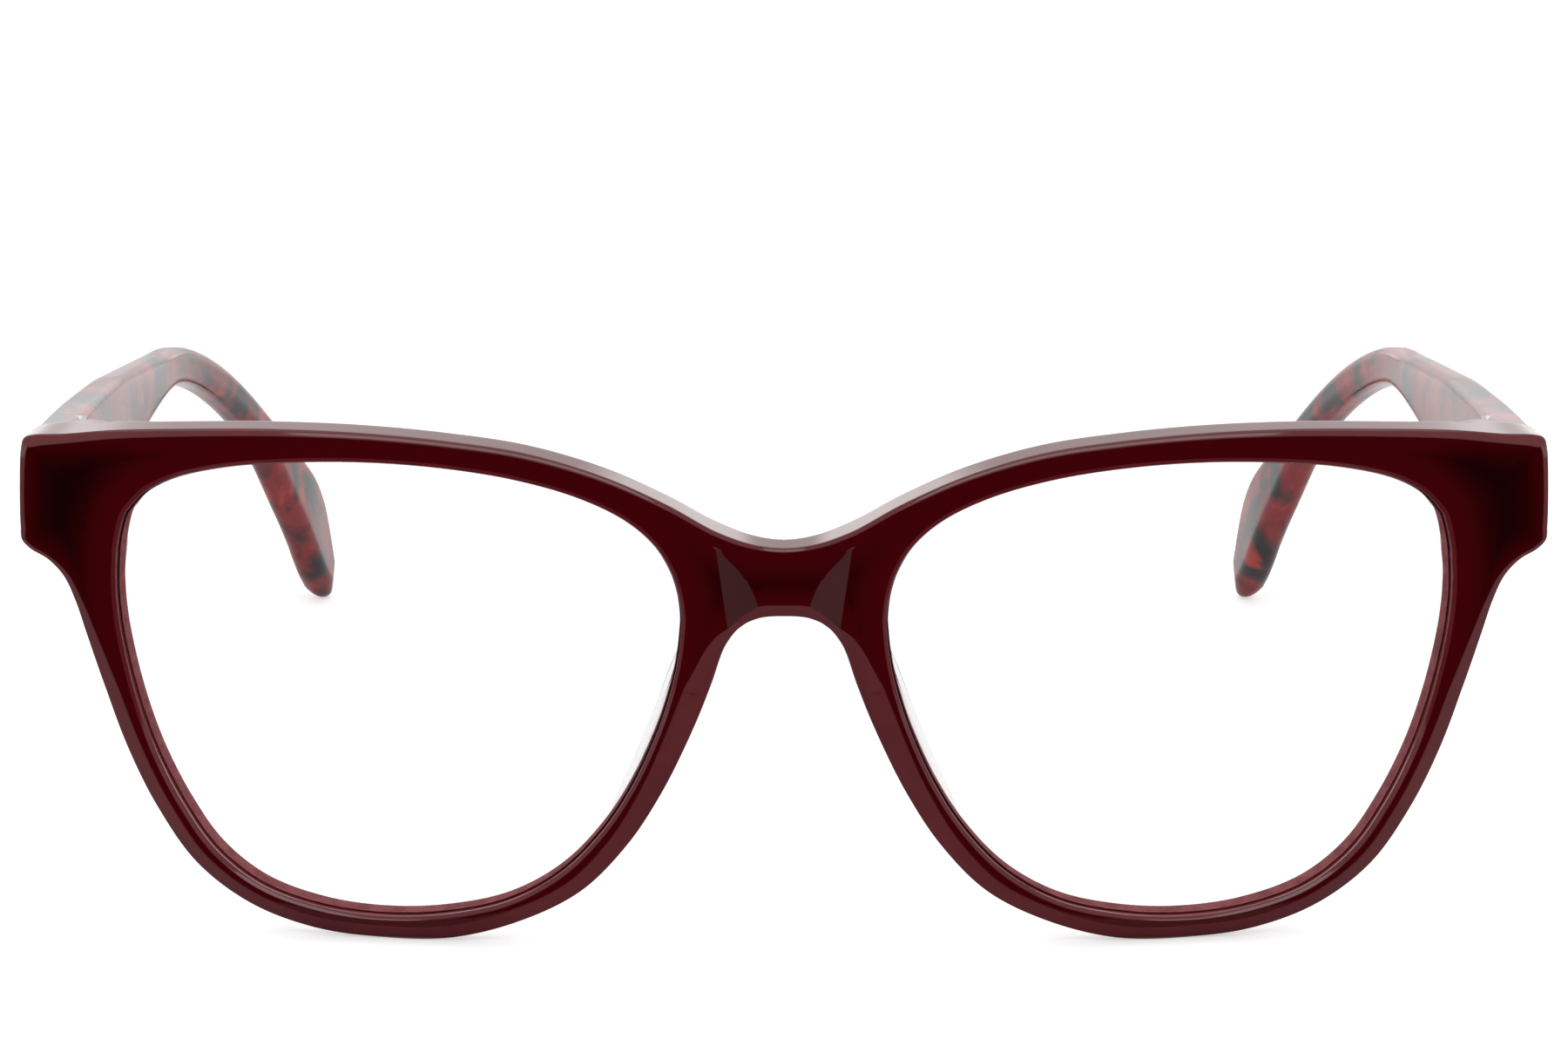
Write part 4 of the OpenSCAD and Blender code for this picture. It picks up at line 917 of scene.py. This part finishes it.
def reflection_card(name, level, near, far, material):
    """A card between a near and a far edge, rows of x, y in metres. Only polished faces mirror it."""
    flat = np.concatenate([near, far])
    points = np.concatenate([flat, np.full((len(flat), 1), level)], 1)
    k = np.arange(len(near) - 1)
    faces = np.stack([k, k + len(near), k + len(near) + 1, k + 1], 1)
    card = stage_sheet(name, points.tolist(), faces.tolist(), material)
    card.visible_camera = card.visible_diffuse = card.visible_shadow = card.visible_transmission = False


stage_sheet("paper_floor", [(-4, -4, 0), (4, -4, 0), (4, 4, 0), (-4, 4, 0)], [(0, 1, 2, 3)],
            floor_material())
# The black card lies where the front face mirrors the floor. Its near edge follows the two rims, as (x, y)
# in metres from the middle outwards. The slanting facets mirror a grey card under and beside the rims.
near_edge = np.array([(0, -0.120), (0.011, -0.116), (0.013, -0.098), (0.020, -0.080), (0.030, -0.0735),
                      (0.042, -0.0715), (0.052, -0.073), (0.064, -0.080), (0.085, -0.096), (0.105, -0.116),
                      (0.130, -0.126), (0.155, -0.135), (0.180, -0.160)])
near_edge = np.concatenate([near_edge[:0:-1] * (-1, 1), near_edge])
far_edge = np.stack([near_edge[:, 0] * 1.1, np.full(len(near_edge), -0.34)], 1)
reflection_card("black_card_front", 0.0006, near_edge, far_edge, card_material("black_card", 0.004))
near_edge = np.array([(-0.30, 0.03), (-0.11, 0.03), (-0.085, -0.045), (0.085, -0.045), (0.11, 0.03),
                      (0.30, 0.03)])
far_edge = np.stack([near_edge[:, 0], np.full(len(near_edge), -0.13)], 1)
reflection_card("grey_card_below", 0.0003, near_edge, far_edge, card_material("grey_card", 0.28))

# What polished faces mirror of the room: an even light, and behind the glasses a low wide panel that grows
# brighter from its middle outwards and is soft at its edges. The camera sees white.
world = bpy.data.worlds.new("white_studio")
bpy.context.scene.world = world
sky = Graph(world)
way = sky.add("ShaderNodeSeparateXYZ", {0: sky.add("ShaderNodeTexCoord").outputs["Generated"]})
ahead = sky.calc("MAXIMUM", way.outputs["Y"], 0.02)
sideways = sky.calc("ABSOLUTE", sky.calc("DIVIDE", way.outputs["X"], ahead))
rise = sky.calc("DIVIDE", way.outputs["Z"], ahead)
panel = sky.calc("MULTIPLY", sky.eased(way.outputs["Y"], 0.05, 0.3), sky.eased(rise, -0.02, 0.08))
panel = sky.calc("MULTIPLY", panel, sky.eased(rise, 0.7, 1.0, 1.0, 0.0))
panel = sky.calc("MULTIPLY", panel, sky.eased(sideways, 0.9, 1.6, 1.0, 0.0))
bright = sky.eased(sideways, 0.15, 0.25, PANEL_MIDDLE, PANEL_SIDES)
mirrored_room = sky.eased(panel, 0.0, 1.0, ROOM_MIRRORED, bright)
strength = sky.spread(seen_straight(sky), sky.spread(sky.ray("Glossy"), ROOM_LIGHT, mirrored_room), 1.0)
sky.ends_in(sky.add("ShaderNodeBackground", {"Strength": strength}), "ShaderNodeOutputWorld")


def softbox(name, place, aim, width, height, radiance):
    """A soft area lamp of an even radiance, turned to the point it lights."""
    lamp = bpy.data.lights.new(name, "AREA")
    lamp.shape, lamp.size, lamp.size_y = "RECTANGLE", width, height
    lamp.energy = radiance * pi * width * height
    thing = bpy.data.objects.new(name, lamp)
    thing.location = place
    way = np.array(aim, float) - np.array(place, float)
    flat = np.hypot(way[0], way[1])
    thing.rotation_euler = (pi / 2 + np.arctan2(way[2], flat), 0, np.arctan2(-way[0], way[1]))
    bpy.context.scene.collection.objects.link(thing)
    thing.visible_camera = False
    return thing


softbox("overhead_softbox", (0, 0.0, 1.1), (0, 0, 0), 1.2, 0.7, 0.7)
softbox("front_softbox", (0, -0.95, 0.90), (0, 0, 0.03), 1.0, 0.6, 2.2)
# The room behind already holds the panel that polished faces mirror, so this lamp only lights.
softbox("back_softbox", (0, 1.1, 0.42), (0, 0, 0.03), 2.0, 0.7, 1.6).visible_glossy = False

camera = bpy.data.cameras.new("photo_camera")
camera.lens, camera.sensor_width = CAMERA_LENS, SENSOR_W
camera.clip_start, camera.clip_end = 0.05, 20
viewer = bpy.data.objects.new("photo_camera", camera)
viewer.location = CAMERA_PLACE
viewer.rotation_euler = (radians(90 - CAMERA_PITCH), 0, 0)
bpy.context.scene.collection.objects.link(viewer)
bpy.context.scene.camera = viewer

bpy.context.scene.view_settings.view_transform = "Standard"
bpy.context.view_layer.update()
